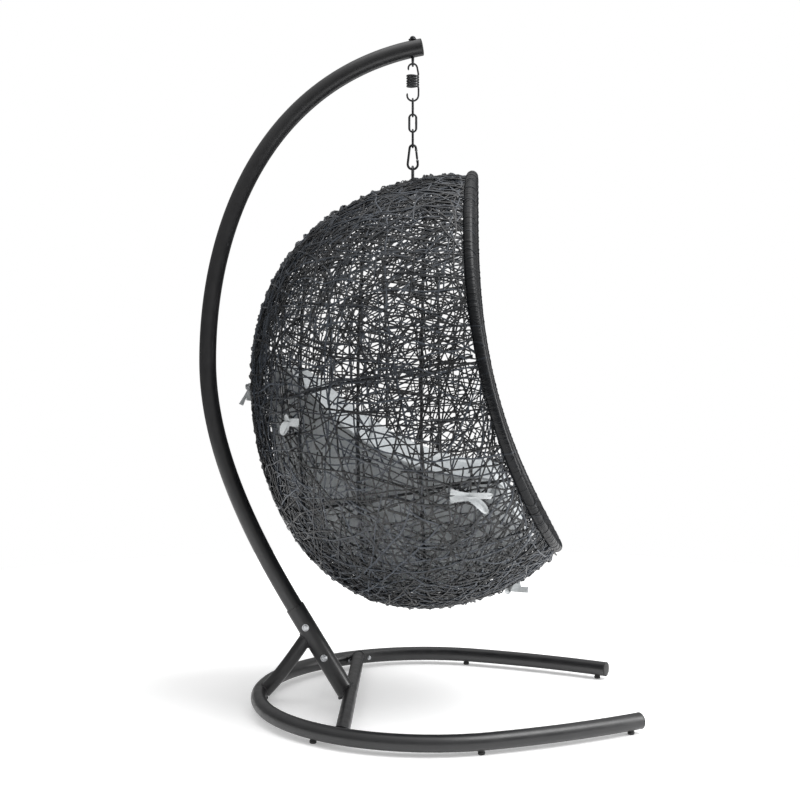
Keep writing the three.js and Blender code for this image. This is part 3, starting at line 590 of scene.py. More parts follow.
# Profiles turned about an axis, as (radius, height) pairs.
FOOT_PROFILE = [(0, 0), (0.0078, 0), (0.0092, 0.0012), (0.0095, 0.0032), (0.0095, 0.0070),
                (0.0080, 0.0082), (0.0080, 0.0125), (0, 0.0125)]
CAP_PROFILE = [(0, -0.012), (0.0200, -0.012), (0.0204, 0), (0.0226, 0.0002), (0.0229, 0.0016),
               (0.0216, 0.0034), (0.0170, 0.0046), (0.0090, 0.0052), (0, 0.0054)]
SCREW_FLANGE = [(0, 0), (0.0066, 0), (0.0068, 0.0009), (0.0064, 0.0012), (0, 0.0012)]
WASHER = [(0, 0), (0.0102, 0), (0.0105, 0.0005), (0.0105, 0.0014), (0.0100, 0.0018), (0, 0.0018)]
BOLT_END = [(0, 0.007), (0.0040, 0.007), (0.0040, 0.0103), (0.0034, 0.0110), (0, 0.0110)]


def make_arm(side):
    """One half of the horseshoe, with the plug in its tip and its three feet."""
    line = arm_line(side, np.linspace(ARM_SEAM, 1, ARM_POINTS))
    put_tube(f"arm_{side}", f"base_arm_{side}", line, ARM_RADIUS, up=Z_AXIS)
    before, tip = arm_line(side, [0.995, 1])
    cap = Shape()
    add_lathe(cap, CAP_PROFILE, tip + GAP / 2 * X_AXIS, tip - before)
    put(cap, f"tip_cap_{side}", "stand", "black_plastic", f"arm_tip_cap_{side}", sharp=50)
    for name, fraction in FOOT_AT.items():
        foot = Shape()
        add_lathe(foot, FOOT_PROFILE, arm_line(side, fraction) * [1, 1, 0], Z_AXIS)
        put(foot, f"pad_{name}_{side}", "stand", "black_plastic", f"foot_{name}_{side}", sharp=50)


def saddle_frame(side, offset):
    """The arm's centre beside the cross bar, and the way out from the hoop's middle."""
    centre = arm_line(side, BAR_AT + offset / ARM_LENGTH)
    return centre, unit(centre - [HOOP_CENTRE_X, 0, ARM_Z])


def make_saddle(side):
    """The curved plate between the cross bar and the arm, with its two screws."""
    count, arc = 40, 12
    reach, taper = SADDLE["half_length"], SADDLE["taper"]
    inner = ARM_RADIUS + SADDLE["gap"]
    outer = inner + SADDLE["thickness"]
    rings = []
    for offset in np.linspace(-reach, reach, count):
        centre, out = saddle_frame(side, offset)
        corner = max(abs(offset) - reach + taper, 0) / taper
        half = math.asin(SADDLE["half_height"] / outer) * (1 - 0.5 * corner ** 3)
        angles = np.linspace(-half, half, arc)
        profile = [(inner, a) for a in angles] + [(outer, a) for a in angles[::-1]]
        rings.append([centre - out * r * math.cos(a) + Z_AXIS * r * math.sin(a) for r, a in profile])
    shape = Shape()
    order = np.array(rings) if side == "right" else np.array(rings)[::-1]
    shape.add(order, ring_faces(count, 2 * arc))
    put(shape, f"saddle_{side}", "stand", "powder_coat", f"bar_saddle_{side}", sharp=35)

    for name, offset in SADDLE_SCREW_AT.items():
        centre, out = saddle_frame(side, offset)
        face = centre - out * outer
        screw = Shape()
        add_lathe(screw, SCREW_FLANGE, face, -out)
        add_prism(screw, 0.0056, (0.0011, 0.0046), 0.0007, face, -out)
        put(screw, f"screw_{name}_{side}", "stand", "zinc", f"saddle_screw_{name}_{side}", sharp=30)


def make_joiner():
    """The sleeve inside the seam at the back."""
    fractions = np.linspace(-0.05, 0.05, 24)
    line = np.array([arm_line("right" if f < 0 else "left", abs(f)) for f in fractions])
    put_tube("seam_sleeve", "base_joiner", line, ARM_RADIUS - 0.003, 24, Z_AXIS)


def make_cross_bar():
    """A straight tube from one arm's saddle to the other's."""
    centre, out = saddle_frame("left", 0)
    half = centre[1] - ARM_RADIUS / abs(out[1]) + 0.006
    line = CROSS_BAR_PLACE + np.linspace(-half, half, 40)[:, None] * Y_AXIS
    put_tube("bar", "cross_bar", line, CROSS_BAR_RADIUS, up=Z_AXIS)


for arm_side in SIDES:
    make_arm(arm_side)
    make_saddle(arm_side)
make_joiner()
make_cross_bar()

# ------------------------------------------------------------------ socket, strut and pole

WELD_BEAD = 0.0028
WELD_RIPPLES = 24
SOCKET_DOWN = unit(SOCKET_FOOT - SOCKET_TOP)
SOCKET_LENGTH = np.linalg.norm(SOCKET_FOOT - SOCKET_TOP)


def make_socket():
    """An open tube: up its outside, over the lip and a little way down inside."""
    outside = [(SOCKET_RADIUS, -step) for step in np.linspace(SOCKET_LENGTH, 0, 24)]
    bore = SOCKET_RADIUS - SOCKET_WALL
    lip = [(SOCKET_RADIUS - 0.0004, 0.0005), (bore + 0.0004, 0.0005), (bore, 0)]
    hollow = [(0, -SOCKET_LENGTH + 0.02), (bore, -SOCKET_LENGTH + 0.02), (bore, -SOCKET_LENGTH)]
    shape = Shape()
    profile = [*hollow, *outside, *lip, (bore, -0.06), (0, -0.06)]
    add_lathe(shape, profile, SOCKET_TOP, -SOCKET_DOWN, 40)
    put(shape, "socket", "stand", "powder_coat", "socket_tube", sharp=35)


def make_socket_bolt(name, distance):
    """A bolt's head on the socket's right side and its nut on the left, each on a washer."""
    centre = SOCKET_TOP + SOCKET_DOWN * distance
    face = SOCKET_RADIUS - 0.0008
    head = Shape()
    right = centre - Y_AXIS * face
    add_lathe(head, WASHER, right, -Y_AXIS)
    add_prism(head, 0.0086, (0.0017, 0.0071), 0.0012, right, -Y_AXIS, 0.3)
    put(head, f"bolt_{name}", "stand", "zinc", f"socket_bolt_{name}", sharp=30)

    nut = Shape()
    left = centre + Y_AXIS * face
    add_lathe(nut, WASHER, left, Y_AXIS)
    add_prism(nut, 0.0080, (0.0017, 0.0080), 0.0010, left, Y_AXIS, 0.7)
    add_lathe(nut, BOLT_END, left, Y_AXIS)
    put(nut, f"nut_{name}", "stand", "zinc", f"socket_nut_{name}", sharp=30)


def strut_line(count):
    """Two straight stretches with a bend of even radius between them."""
    foot, bend, head = STRUT_LINE
    turn_in = bend + 0.75 * (foot - bend)
    turn_out = bend + 0.55 * (head - bend)
    curve = bezier(turn_in, bend + 0.25 * (foot - bend), bend + 0.18 * (head - bend), turn_out, count)
    return resample(np.concatenate([[foot], curve, [head]]), count)


def pole_line(count):
    """Two smooth curves that meet at the back, and a stretch inside the socket."""
    top, above, below, foot = POLE_HANDLES
    upper = bezier(POLE_TOP, POLE_TOP - POLE_OUT * top, POLE_BACK + Z_AXIS * above, POLE_BACK, count)
    lower = bezier(POLE_BACK, POLE_BACK - Z_AXIS * below, SOCKET_TOP - SOCKET_DOWN * foot, SOCKET_TOP, count)
    return resample(np.concatenate([upper, lower[1:], [SOCKET_TOP + SOCKET_DOWN * 0.07]]), count)


def make_pole():
    """The curved tube, and the plug in its upper end."""
    put_tube("pole_tube", "pole", pole_line(260), POLE_RADIUS, 40)
    cap = Shape()
    scale = POLE_RADIUS / ARM_RADIUS
    add_lathe(cap, [(r * scale * 0.985, h) for r, h in CAP_PROFILE], POLE_TOP, POLE_OUT)
    put(cap, "pole_cap", "stand", "black_plastic", "pole_end_cap", sharp=50)


def weld_round(centre, axis, radius, over, over_radius):
    """The ring where a tube on an axis meets another tube, given by a point of its axis and its direction."""
    axis = unit(np.asarray(axis, float))
    helper = Y_AXIS if abs(axis[1]) < 0.9 else Z_AXIS
    ring = centre + radius * spokes_round(axis, WELD_RIPPLES * 4, helper)
    point, direction = over
    direction = unit(direction)
    start = ring - point
    start = start - (start @ direction)[:, None] * direction
    step = axis - axis.dot(direction) * direction
    a = step.dot(step)
    b = start @ step
    c = (start * start).sum(axis=1) - over_radius ** 2
    travel = (-b - np.sqrt(np.maximum(b * b - a * c, 0))) / a
    return ring + travel[:, None] * axis


def make_welds():
    """Beads round the strut's two ends, the socket's foot and the cross bar's two ends."""
    shape = Shape()
    foot, bend, head = STRUT_LINE
    socket, seam, bar = (SOCKET_TOP, SOCKET_DOWN), (arm_line("left", 0.0), Y_AXIS), (CROSS_BAR_PLACE, Y_AXIS)
    add_weld(shape, weld_round(bend, head - bend, STRUT_RADIUS, socket, SOCKET_RADIUS), WELD_BEAD)
    add_weld(shape, weld_round(bend, foot - bend, STRUT_RADIUS, seam, ARM_RADIUS), WELD_BEAD)
    start = SOCKET_TOP + SOCKET_DOWN * 0.1
    add_weld(shape, weld_round(start, SOCKET_DOWN, SOCKET_RADIUS, bar, CROSS_BAR_RADIUS), WELD_BEAD + 0.0002)
    for side, sign in SIDES.items():
        centre, out = saddle_frame(side, 0)
        plate = (centre, np.cross(out, Z_AXIS))
        face = ARM_RADIUS + SADDLE["gap"] + SADDLE["thickness"]
        ring = weld_round(CROSS_BAR_PLACE, sign * Y_AXIS, CROSS_BAR_RADIUS, plate, face)
        add_weld(shape, ring, WELD_BEAD - 0.0002)
    put(shape, "weld_beads", "stand", "weld", slot="powder_coat", sharp=80)


make_socket()
for bolt_name, bolt_distance in SOCKET_BOLTS.items():
    make_socket_bolt(bolt_name, bolt_distance)
put_tube("strut", "rear_strut", strut_line(60), STRUT_RADIUS)
make_pole()
make_welds()

# ------------------------------------------------------------------ hardware on the hang axis


def link_loop(top, low, length, side, count):
    """A link's closed centre line in the plane of Z and side, its upper crown at the origin."""
    straight = length - top - low
    half = np.linspace(0, math.pi, count // 3)
    upper = np.stack([top * np.cos(half), top * (np.sin(half) - 1)], axis=1)
    lower = np.stack([-low * np.cos(half), -top - straight - low * np.sin(half)], axis=1)
    outline = np.concatenate([upper, lower, upper[:1]])
    line = outline[:, :1] * side + outline[:, 1:] * Z_AXIS
    return resample(line, count + 1)[:-1]


def quarter_point(outline, quarter):
    """A point of a snap hook's outline, at quarters of its loop as the CAD counts them."""
    top, low, length = outline
    straight = length - top - low
    quarter = quarter % 4
    if quarter < 1.5:
        angle = math.pi * quarter / 1.5
        x, z = top * math.cos(angle), top * (math.sin(angle) - 1)
    elif quarter < 2:
        part = (quarter - 1.5) / 0.5
        x, z = -top - (low - top) * part, -top - straight * part
    elif quarter < 3.5:
        angle = math.pi * (quarter - 2) / 1.5
        x, z = -low * math.cos(angle), -top - straight - low * math.sin(angle)
    else:
        part = (quarter - 3.5) / 0.5
        x, z = low - (low - top) * part, -top - straight + straight * part
    return np.array([x, 0, z])


LINK_DROP = LINK_PITCH - 2 * LINK_WIRE - GAP
LINK_UPPER_Z = SPRING_LOOP_Z + SPRING_WIRE + LINK_WIRE + GAP
LINK_LOWER_Z = LINK_UPPER_Z - 2 * LINK_DROP
SNAP_Z = LINK_LOWER_Z - LINK_PITCH + LINK_WIRE + SNAP["wire"] + GAP
SEAT_EYE_Z = SNAP_Z - SNAP["length"] + SNAP["wire"] + SEAT_EYE_WIRE + GAP


NUT_FLANGE = [(0, -0.0004), (0.0125, -0.0004), (0.0128, 0.0004), (0.0125, 0.0013), (0, 0.0013)]
GATE_PIN = [(0, -0.0042), (0.0012, -0.0042), (0.0016, -0.0036),
            (0.0016, 0.0036), (0.0012, 0.0042), (0, 0.0042)]
SPRING_POINTS = 420
LOOP_POINTS = 96
SNAP_POINTS = 160


def make_eye_bolt():
    """The ring that the spring hangs from, its shank into the pole, and the dome nut on top."""
    shape = Shape()
    angles = 2 * math.pi * np.arange(64) / 64
    centre_z = EYE_LOW_Z + EYE_RING
    ring = np.stack([0 * angles, EYE_RING * np.cos(angles), centre_z + EYE_RING * np.sin(angles)], axis=1)
    wire = EYE_WIRE + EYE_SHANK_SWELL * (1 + np.sin(angles)) / 2
    add_tube(shape, ring, wire, 16, X_AXIS, closed=True)
    thick = EYE_WIRE + EYE_SHANK_SWELL
    shank = [(0, 0), (thick, 0), (thick, 0.060), (0, 0.060)]
    add_lathe(shape, shank, np.array([0, 0, centre_z + EYE_RING - 0.001]), Z_AXIS, 20)
    put(shape, "hang_eye", "stand", "black_steel", "eye_bolt")

    nut = Shape()
    seat = np.array([0, 0, NUT_SEAT_Z])
    add_lathe(nut, NUT_FLANGE, seat, Z_AXIS)
    add_prism(nut, 0.0095, (0.0012, 0.0058), 0.0008, seat, Z_AXIS, 0.2)
    dome = [(0.0082 * math.cos(a), 0.0054 + 0.0058 * math.sin(a)) for a in np.linspace(0, math.pi / 2, 10)]
    add_lathe(nut, [(0, 0.0050), (0.0082, 0.0050), *dome], seat, Z_AXIS)
    put(nut, "dome_nut", "stand", "black_steel", "eye_bolt_dome_nut", sharp=30)


def make_spring():
    """One wire: a hook over the eye, the coil, and an open loop that carries the chain."""

    def arc(radius, centre_z, start, stop):
        angles = np.linspace(start, stop, 60) * DEGREE
        return np.stack([radius * np.cos(angles), 0 * angles, centre_z + radius * np.sin(angles)], axis=1)

    hook_z = EYE_LOW_Z + EYE_WIRE + SPRING_WIRE + GAP - SPRING_HOOK_RADIUS
    part = np.linspace(0, 1, 48 * SPRING_COIL["turns"])
    angles = 2 * math.pi * SPRING_COIL["turns"] * part
    heights = SPRING_COIL["top"] + (SPRING_COIL["low"] - SPRING_COIL["top"]) * part
    radius = SPRING_COIL["radius"]
    coil = np.stack([radius * np.cos(angles), radius * np.sin(angles), heights], axis=1)
    hook = arc(SPRING_HOOK_RADIUS, hook_z, 205, -5)
    loop = arc(SPRING_LOOP_RADIUS, SPRING_LOOP_Z + SPRING_LOOP_RADIUS, 5, -200)
    line = smoothed(resample(np.concatenate([hook, coil, loop]), SPRING_POINTS), 12)
    shape = Shape()
    ends = np.minimum(np.arange(SPRING_POINTS), np.arange(SPRING_POINTS)[::-1])
    add_tube(shape, line, SPRING_WIRE_WORN * np.sqrt(np.clip((ends + 0.6) / 3, 0.3, 1)), 14)
    spring = shape.build("coil_spring", MATERIAL["black_steel"])
    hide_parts("hanging_spring")
    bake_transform(spring)


def make_link(name, crown_z, side, across):
    """A chain link, thicker where it was welded shut."""
    line = link_loop(LINK_HALF_WIDTH, LINK_HALF_WIDTH, LINK_PITCH, side, LOOP_POINTS) + [0, 0, crown_z]
    middle = line[:, 2] - (crown_z - LINK_PITCH / 2)
    on_seam = line @ side > 0
    swell = 1 + 0.10 * np.exp(-(middle / 0.0022) ** 2) * on_seam
    swell += LINK_LEG_SWELL * smoothstep(0.022, 0.015, np.abs(middle))
    shape = Shape()
    add_tube(shape, line, LINK_WIRE * swell, 14, across, closed=True)
    body = name.replace("chain_", "")
    put(shape, body, body, "black_steel", name)


def make_snap_hook():
    """The hook's one wire from its nose round to its heel, and the gate that closes it."""
    outline = (SNAP["top"], SNAP["low"], SNAP["length"])
    quarters = np.linspace(SNAP["nose"], SNAP["heel"], SNAP_POINTS)
    points = np.array([quarter_point(outline, quarter) for quarter in quarters])
    line = smoothed(resample(points, SNAP_POINTS), 6) + [0, 0, SNAP_Z]
    run = np.linspace(0, 1, SNAP_POINTS)
    swell = 1 + 0.28 * np.exp(-(run / 0.02) ** 2) + 0.22 * np.exp(-((1 - run) / 0.03) ** 2)
    shape = Shape()
    add_tube(shape, line, SNAP["wire"] * swell, 18)
    put(shape, "carabiner", "snap_hook", "black_steel", "snap_hook", sharp=60)

    heel = quarter_point(outline, SNAP_GATE["heel"]) + [0, 0, SNAP_Z]
    nose = quarter_point(outline, SNAP_GATE["nose"]) + [0, 0, SNAP_Z]
    gate = Shape()
    along = np.linspace(0, 1, 24)[:, None]
    bulge = SNAP_GATE["radius"] * (1 - 0.22 * np.exp(-(along[:, 0] / 0.1) ** 2))
    add_tube(gate, heel + (nose - heel) * along, bulge, 16)
    add_lathe(gate, GATE_PIN, heel + 0.12 * (nose - heel), Y_AXIS, 14)
    put(gate, "gate", "snap_gate", "black_steel", "snap_gate", sharp=50)


make_eye_bolt()
make_spring()
make_link("chain_link_upper", LINK_UPPER_Z, Y_AXIS, X_AXIS)
make_link("chain_link_middle", LINK_UPPER_Z - LINK_DROP, X_AXIS, Y_AXIS)
make_link("chain_link_lower", LINK_LOWER_Z, Y_AXIS, X_AXIS)
make_snap_hook()

# ------------------------------------------------------------------ egg surface


def egg(directions, inset=0.0):
    """Points of the egg, or of the smaller egg an inset inside it, in unit directions from its middle."""
    inset = np.asarray(inset, float)
    s = directions[..., 2]
    depth = EGG_DEPTH * (1 + EGG_DEPTH_GROWTH[0] * s + EGG_DEPTH_GROWTH[1] * s * s) - inset
    width = EGG_WIDTH * (1 + EGG_WIDTH_GROWTH * s) - inset
    x = EGG_MIDDLE[0] + EGG_HALF[0] * s + depth * directions[..., 0]
    z = EGG_MIDDLE[1] + (EGG_HALF[1] - inset) * s
    return np.stack([x, width * directions[..., 1], z], axis=-1)


def egg_direction(points):
    """The direction in which a point lies from the egg's middle: the inverse of egg()."""
    s = np.clip((points[..., 2] - EGG_MIDDLE[1]) / EGG_HALF[1], -0.999, 0.999)
    depth = EGG_DEPTH * (1 + EGG_DEPTH_GROWTH[0] * s + EGG_DEPTH_GROWTH[1] * s * s)
    width = EGG_WIDTH * (1 + EGG_WIDTH_GROWTH * s)
    x = (points[..., 0] - EGG_MIDDLE[0] - EGG_HALF[0] * s) / depth
    return unit(np.stack([x, points[..., 1] / width, s], axis=-1))


def egg_normal(directions):
    """The way out of the egg's skin in given directions."""
    helper = np.where(np.abs(directions[..., 1:2]) > 0.9, Z_AXIS, Y_AXIS)
    first = unit(np.cross(directions, helper))
    second = np.cross(directions, first)
    here = egg(directions)
    ahead = egg(unit(directions + 0.01 * first)) - here
    beside = egg(unit(directions + 0.01 * second)) - here
    normal = unit(np.cross(ahead, beside))
    return normal * np.sign((normal * directions).sum(axis=-1, keepdims=True))


def rim_x(z):
    """Where the rim's middle lies at a height."""
    t = (z - RIM_Z[0]) / (RIM_Z[1] - RIM_Z[0])
    r = 1 - t
    a, b, c, d = RIM_X
    return a * r ** 3 + 3 * b * r * r * t + 3 * c * r * t * t + d * t ** 3


def from_back(angles, turns):
    """Directions at angles from straight back, turned round that."""
    aside = np.cos(turns)[..., None] * Y_AXIS + np.sin(turns)[..., None] * Z_AXIS
    return -np.cos(angles)[..., None] * X_AXIS + np.sin(angles)[..., None] * aside


def edge_angles(outside, count, limit=math.pi):
    """For each of count turns, the largest angle for which outside(angles) is still negative."""
    low, high = np.zeros(count), np.full(count, limit)
    for _ in range(40):
        middle = (low + high) / 2
        inside = outside(middle) < 0
        low, high = np.where(inside, middle, low), np.where(inside, high, middle)
    return low


def egg_slice(inset, front_at, count):
    """The closed line in which a surface x = front_at(z) cuts the egg."""
    turns = 2 * math.pi * np.arange(count) / count

    def ahead(angles):
        points = egg(from_back(angles, turns), inset)
        return points[:, 0] - front_at(points[:, 2])

    return egg(from_back(edge_angles(ahead, count), turns), inset)


def hang(points, yaw=SEAT_YAW):
    """From the seat's own frame to the chair's, or back with minus the yaw: the seat hangs turned a little."""
    c, s = math.cos(yaw), math.sin(yaw)
    return points @ np.array([[c, s, 0], [-s, c, 0], [0, 0, 1]])


def settled(points):
    """The crown's front edge, sunk a little under the pull of the winding."""
    sink = smoothstep(0.02, 0.17, points[:, 0]) * smoothstep(1.35, 1.55, points[:, 2])
    return points - CROWN_SINK * sink[:, None] * Z_AXIS


def put_seat(shape, name, finish, *nodes, slot=None, sharp=60):
    """Places a shape that was made in the seat's own frame."""
    shape.points = [hang(settled(points)) for points in shape.points]
    put(shape, name, "seat", finish, *nodes, slot=slot, sharp=sharp)


# ------------------------------------------------------------------ rim and ribs

WRAP_PITCH = 0.0043
WRAP_HEIGHT = 0.0004
RIM_FOOT_INSET = 0.009
RINGS_PER_WRAP = 5
RIM_SIDES = 18
LASHING_PITCH = (0.012, 0.045)
STRAND_SIDES = 6
STRAND_HALF_WIDTH = (0.0020, 0.0027)


def make_rim():
    """The hoop with strand wound tightly round it: each turn is a low ridge with its own tone, all kept darker
    than the weave's strands as painted shade.
    """
    line = egg_slice(RIM_INSET, rim_x, 720)
    line = egg_slice(RIM_INSET + RIM_FOOT_INSET * smoothstep(0.62, 0.48, line[:, 2]), rim_x, 720)
    closed = np.concatenate([line, line[:1]])
    wraps = round(lengths_along(closed)[-1] / WRAP_PITCH)
    count = wraps * RINGS_PER_WRAP
    line = resample(closed, count + 1)[:-1]
    _, across, up = frames_along(line, X_AXIS, closed=True)
    angles = 2 * math.pi * np.arange(RIM_SIDES) / RIM_SIDES
    phase = np.arange(count)[:, None] / RINGS_PER_WRAP + angles / (2 * math.pi)
    turn = np.floor(phase).astype(int) % wraps
    ridge = 1 - (2 * (phase % 1) - 1) ** 6
    lift = RANDOM.normal(0, 0.00018, wraps)
    radius = RIM_RADIUS - WRAP_HEIGHT + WRAP_HEIGHT * ridge + lift[turn]
    outline = np.stack([radius * np.cos(angles), radius * np.sin(angles)], axis=-1)
    # Painted shade: the turns' tones centre on 0.12, far below the weave's 0 to 1, to stand for the shade on
    # the rim's face.
    shaded_rim_tones = np.clip(RANDOM.normal(0.12, 0.10, wraps), 0, 1)
    shape = Shape()
    shape.add(*swept(line, across, up, outline, closed=True), shaded_rim_tones[turn].ravel())
    put_seat(shape, "rim_wrap", "rim_rattan", "rim_hoop", slot="rattan")
    make_lashings(line, across, up)


def make_lashings(line, across, up):
    """Strands of the weave that come round the rim and go back into the wall."""
    along = directions_along(line, closed=True)
    spacing = lengths_along(line)[-1] / len(line)
    shape = Shape()
    angles = 2 * math.pi * np.arange(18)[:, None] / 18
    place_at = 0.0
    while place_at < len(line):
        i = int(place_at)
        place_at += RANDOM.uniform(*LASHING_PITCH) / spacing
        lean = RANDOM.normal(0, 0.5) * np.cos(angles - RANDOM.uniform(0, 2 * math.pi))
        spokes = np.cos(angles) * across[i] + np.sin(angles) * up[i]
        ring = line[i] + (RIM_RADIUS + 0.0002) * (spokes + lean * along[i])
        half_width = RANDOM.uniform(*STRAND_HALF_WIDTH)
        flat = circle(1, STRAND_SIDES) * [half_width, 0.35 * half_width]
        forward = directions_along(ring, closed=True)
        aside = unit(np.cross(forward, spokes))
        shape.add(*swept(ring, aside, np.cross(aside, forward), flat, closed=True), RANDOM.uniform(0, 0.6))
    put_seat(shape, "rim_lashings", "rim_rattan", slot="rattan")


RIB_STOP = RIM_RADIUS + RIB_RADIUS + 0.003
RIB_POINTS = 160
RIB_SIDES = 10


def spine_directions(angles):
    return np.stack([-np.cos(angles), 0 * angles, np.sin(angles)], axis=-1)


def past_rib_stop(directions):
    """How far past its stop at the rim the line of the spine or of a level rib is, in given directions."""
    points = egg(directions, SPINE_INSET)
    return points[:, 0] - rim_x(points[:, 2]) + RIB_STOP


def spine_ends():
    """The angles from the back at which the spine meets the rim, above and below."""
    above = edge_angles(lambda angles: past_rib_stop(spine_directions(angles)), 1)[0]
    below = edge_angles(lambda angles: past_rib_stop(spine_directions(-angles)), 1)[0]
    return above, -below


def side_rib_directions(height, count):
    """Round the back from rim to rim, rising a little towards the front."""

    def at(turns):
        def direction(s):
            c = np.sqrt(1 - s * s)
            return np.stack([-c * np.cos(turns), c * np.sin(turns), s], axis=-1)
        near = egg(direction(np.full_like(turns, (height - EGG_MIDDLE[1]) / EGG_HALF[1])))
        return direction((height + SIDE_RIB_SLOPE * near[:, 0] - EGG_MIDDLE[1]) / EGG_HALF[1])

    end = edge_angles(lambda turns: past_rib_stop(at(turns)), 1)[0]
    return at(np.linspace(-end, end, count))


def put_rib(name, node, line, up, closed=False):
    """One wire of the seat's steel frame."""
    shape = Shape()
    add_tube(shape, line, RIB_RADIUS, RIB_SIDES, up, closed)
    put_seat(shape, name, "black_steel", node)


def make_ribs():
    """The spine, the upright hoops, the level ribs, and the eye that stands on the spine."""
    high, low = spine_ends()
    spine = egg(spine_directions(np.linspace(high, low, RIB_POINTS)), SPINE_INSET)
    put_rib("spine", "spine_rib", spine, Y_AXIS)
    for name, x in HOOP_RIB_X.items():
        hoop = egg_slice(HOOP_RIB_INSET, lambda z: 0 * z + x, RIB_POINTS)
        put_rib(f"hoop_{name}", f"hoop_rib_{name}", hoop, X_AXIS, closed=True)
    for name, z in SIDE_RIB_Z.items():
        rise = smoothstep(0.86, 0.98, np.abs(np.linspace(-1, 1, RIB_POINTS)))
        inset = SIDE_RIB_INSET + (SPINE_INSET - SIDE_RIB_INSET) * rise
        put_rib(f"side_{name}", f"side_rib_{name}", egg(side_rib_directions(z, RIB_POINTS), inset), Z_AXIS)
    top_angle = edge_angles(lambda angles: egg(spine_directions(angles), SPINE_INSET)[:, 0], 1)[0]
    spine_top = egg(spine_directions(np.array([top_angle])), SPINE_INSET)[0, 2] + RIB_RADIUS
    length = SEAT_EYE_Z - spine_top - SEAT_EYE_WIRE - 2 * GAP
    shape = Shape()
    line = link_loop(SEAT_EYE_HALF_WIDTH, SEAT_EYE_HALF_WIDTH, length, Y_AXIS, LOOP_POINTS)
    add_tube(shape, line + [0, 0, SEAT_EYE_Z], SEAT_EYE_WIRE, 16, X_AXIS, closed=True)
    put_seat(shape, "hanging_eye", "black_steel", "seat_eye")


make_rim()
make_ribs()

# ------------------------------------------------------------------ weave

STRAND_STEP = 0.014
STRAND_ROUND = 0.72  # thickness over width
RIM_TUCK = 0.005  # how far short of the rim's middle a strand ends, inside the winding
STRAND_DIP = 0.005  # how much deeper in the wall a strand runs where it comes to the rim
EGG_MEAN_RADIUS = 0.55
FIELD_METRES = 590
FIELD_PIECES = 5
FIELD_LENGTHS = (0.20, 0.95)
FIELD_CHOICES = 10
FIELD_BEND = {"usual": 36, "most": 66}  # degrees
# Up to a share of the strands, the heading that they keep to and its spread, in degrees.
RIB_RUNS = ((0.26, 6, 10), (0.40, 90, 14))
# Where the wall is woven more thickly: by how much, and the two measures between which that comes in.
THICKER = {
    "keel": (0.9, 0.34, 0.18),
    "crown": (1.0, 1.43, 1.54),
    "low": (0.85, 0.72, 0.48),
    "rim": (1.3, 0.07, 0.02),
}
DENSITY_MOST = 4.4
KNOB_PITCH = (0.017, 0.040)
KNOB_SPREAD = 0.008
KNOB_SLOPE = 0.015
KNOB_LEAN = (0.45, 0.12)
KNOB_STRAY = 0.15
KNOB_REACH = (0.045, 0.11)
KNOB_STEP = 0.009
KNOB_RADIUS = 0.52
KNOB_WIDTH = 0.019
KNOB_INSET = (0.002, 0.006)
KNOB_PART = (0.75, 1.1)  # of the height that is asked for
TALLY_CELL = 0.022
TALLY_LOW = np.array([-0.60, -0.60, 0.20])
HEADINGS = 5
TALLY = np.zeros((58, 58, 66, HEADINGS))  # how many strands cross each cell of space so far, for each heading


def strand_outline(count, half_width):
    return circle(1, STRAND_SIDES) * [half_width, STRAND_ROUND * half_width] * np.ones((count, 1, 1))


def add_strand(shape, directions, insets):
    """One flat strand through points of the egg, cut off where it runs into the rim."""
    insets = np.broadcast_to(insets, len(directions))
    points = egg(directions, insets)
    room = rim_x(points[:, 2]) - points[:, 0]
    points = egg(directions, insets + STRAND_DIP * smoothstep(0.05, 0.01, room))
    inside = room > RIM_TUCK
    edges = np.flatnonzero(np.diff(np.concatenate([[0], inside.astype(int), [0]])))
    half_width = RANDOM.uniform(*STRAND_HALF_WIDTH)
    laid = 0
    for first, last in zip(edges[::2], edges[1::2]):
        if last - first < 4:
            continue
        run = points[first:last]
        along = directions_along(run)
        across = unit(np.cross(along, egg_normal(directions[first:last])))
        shape.add(*swept(run, across, np.cross(across, along), strand_outline(len(run), half_width)),
                  RANDOM.uniform(0, 1))
        laid += lengths_along(run)[-1]
    return laid


def arc_directions(start, heading, bend, length):
    """An arc on the sphere of directions, through start, whose centre lies 90 degrees less the bend away."""
    level = unit(np.cross(Z_AXIS, start))
    rising = np.cross(start, level)
    tangent = math.cos(heading) * level + math.sin(heading) * rising
    side = np.cross(start, tangent)
    radius = (90 - abs(bend)) * DEGREE
    axis = math.cos(radius) * start + math.sin(radius) * side * (1 if bend >= 0 else -1)
    spoke = start - axis * math.cos(radius)
    count = max(6, round(length / STRAND_STEP))
    reach = min(length / (EGG_MEAN_RADIUS * math.sin(radius)) / 2, 0.9 * math.pi)
    angles = np.linspace(-reach, reach, count)[:, None]
    ring = axis * math.cos(radius) + spoke * np.cos(angles) + np.cross(axis, spoke) * np.sin(angles)
    sway = np.cross(axis, ring) / math.sin(radius)
    drift = wobble(count, STRAND_STEP, 0.10, 0.008)[:, None]
    return unit(ring + drift * np.cross(ring, sway))


def strand_insets(count):
    """How deep in the wall a strand runs: a level of its own, over and under its neighbours."""
    run = np.arange(count) * STRAND_STEP
    wave = np.sin(2 * math.pi * run / RANDOM.uniform(0.05, 0.09) + RANDOM.uniform(0, 2 * math.pi))
    return RANDOM.uniform(0, WEAVE_THICKNESS) + 0.0016 * wave


def density(points):
    """How thickly each part of the wall is woven, next to the middle of its sides."""
    height = points[..., 2]
    behind_rim = rim_x(height) - points[..., 0]
    measures = {"keel": np.abs(points[..., 1]), "crown": height, "low": height, "rim": behind_rim}
    total = 1
    for name, (extra, start, full) in THICKER.items():
        total = total + extra * smoothstep(start, full, measures[name])
    return total


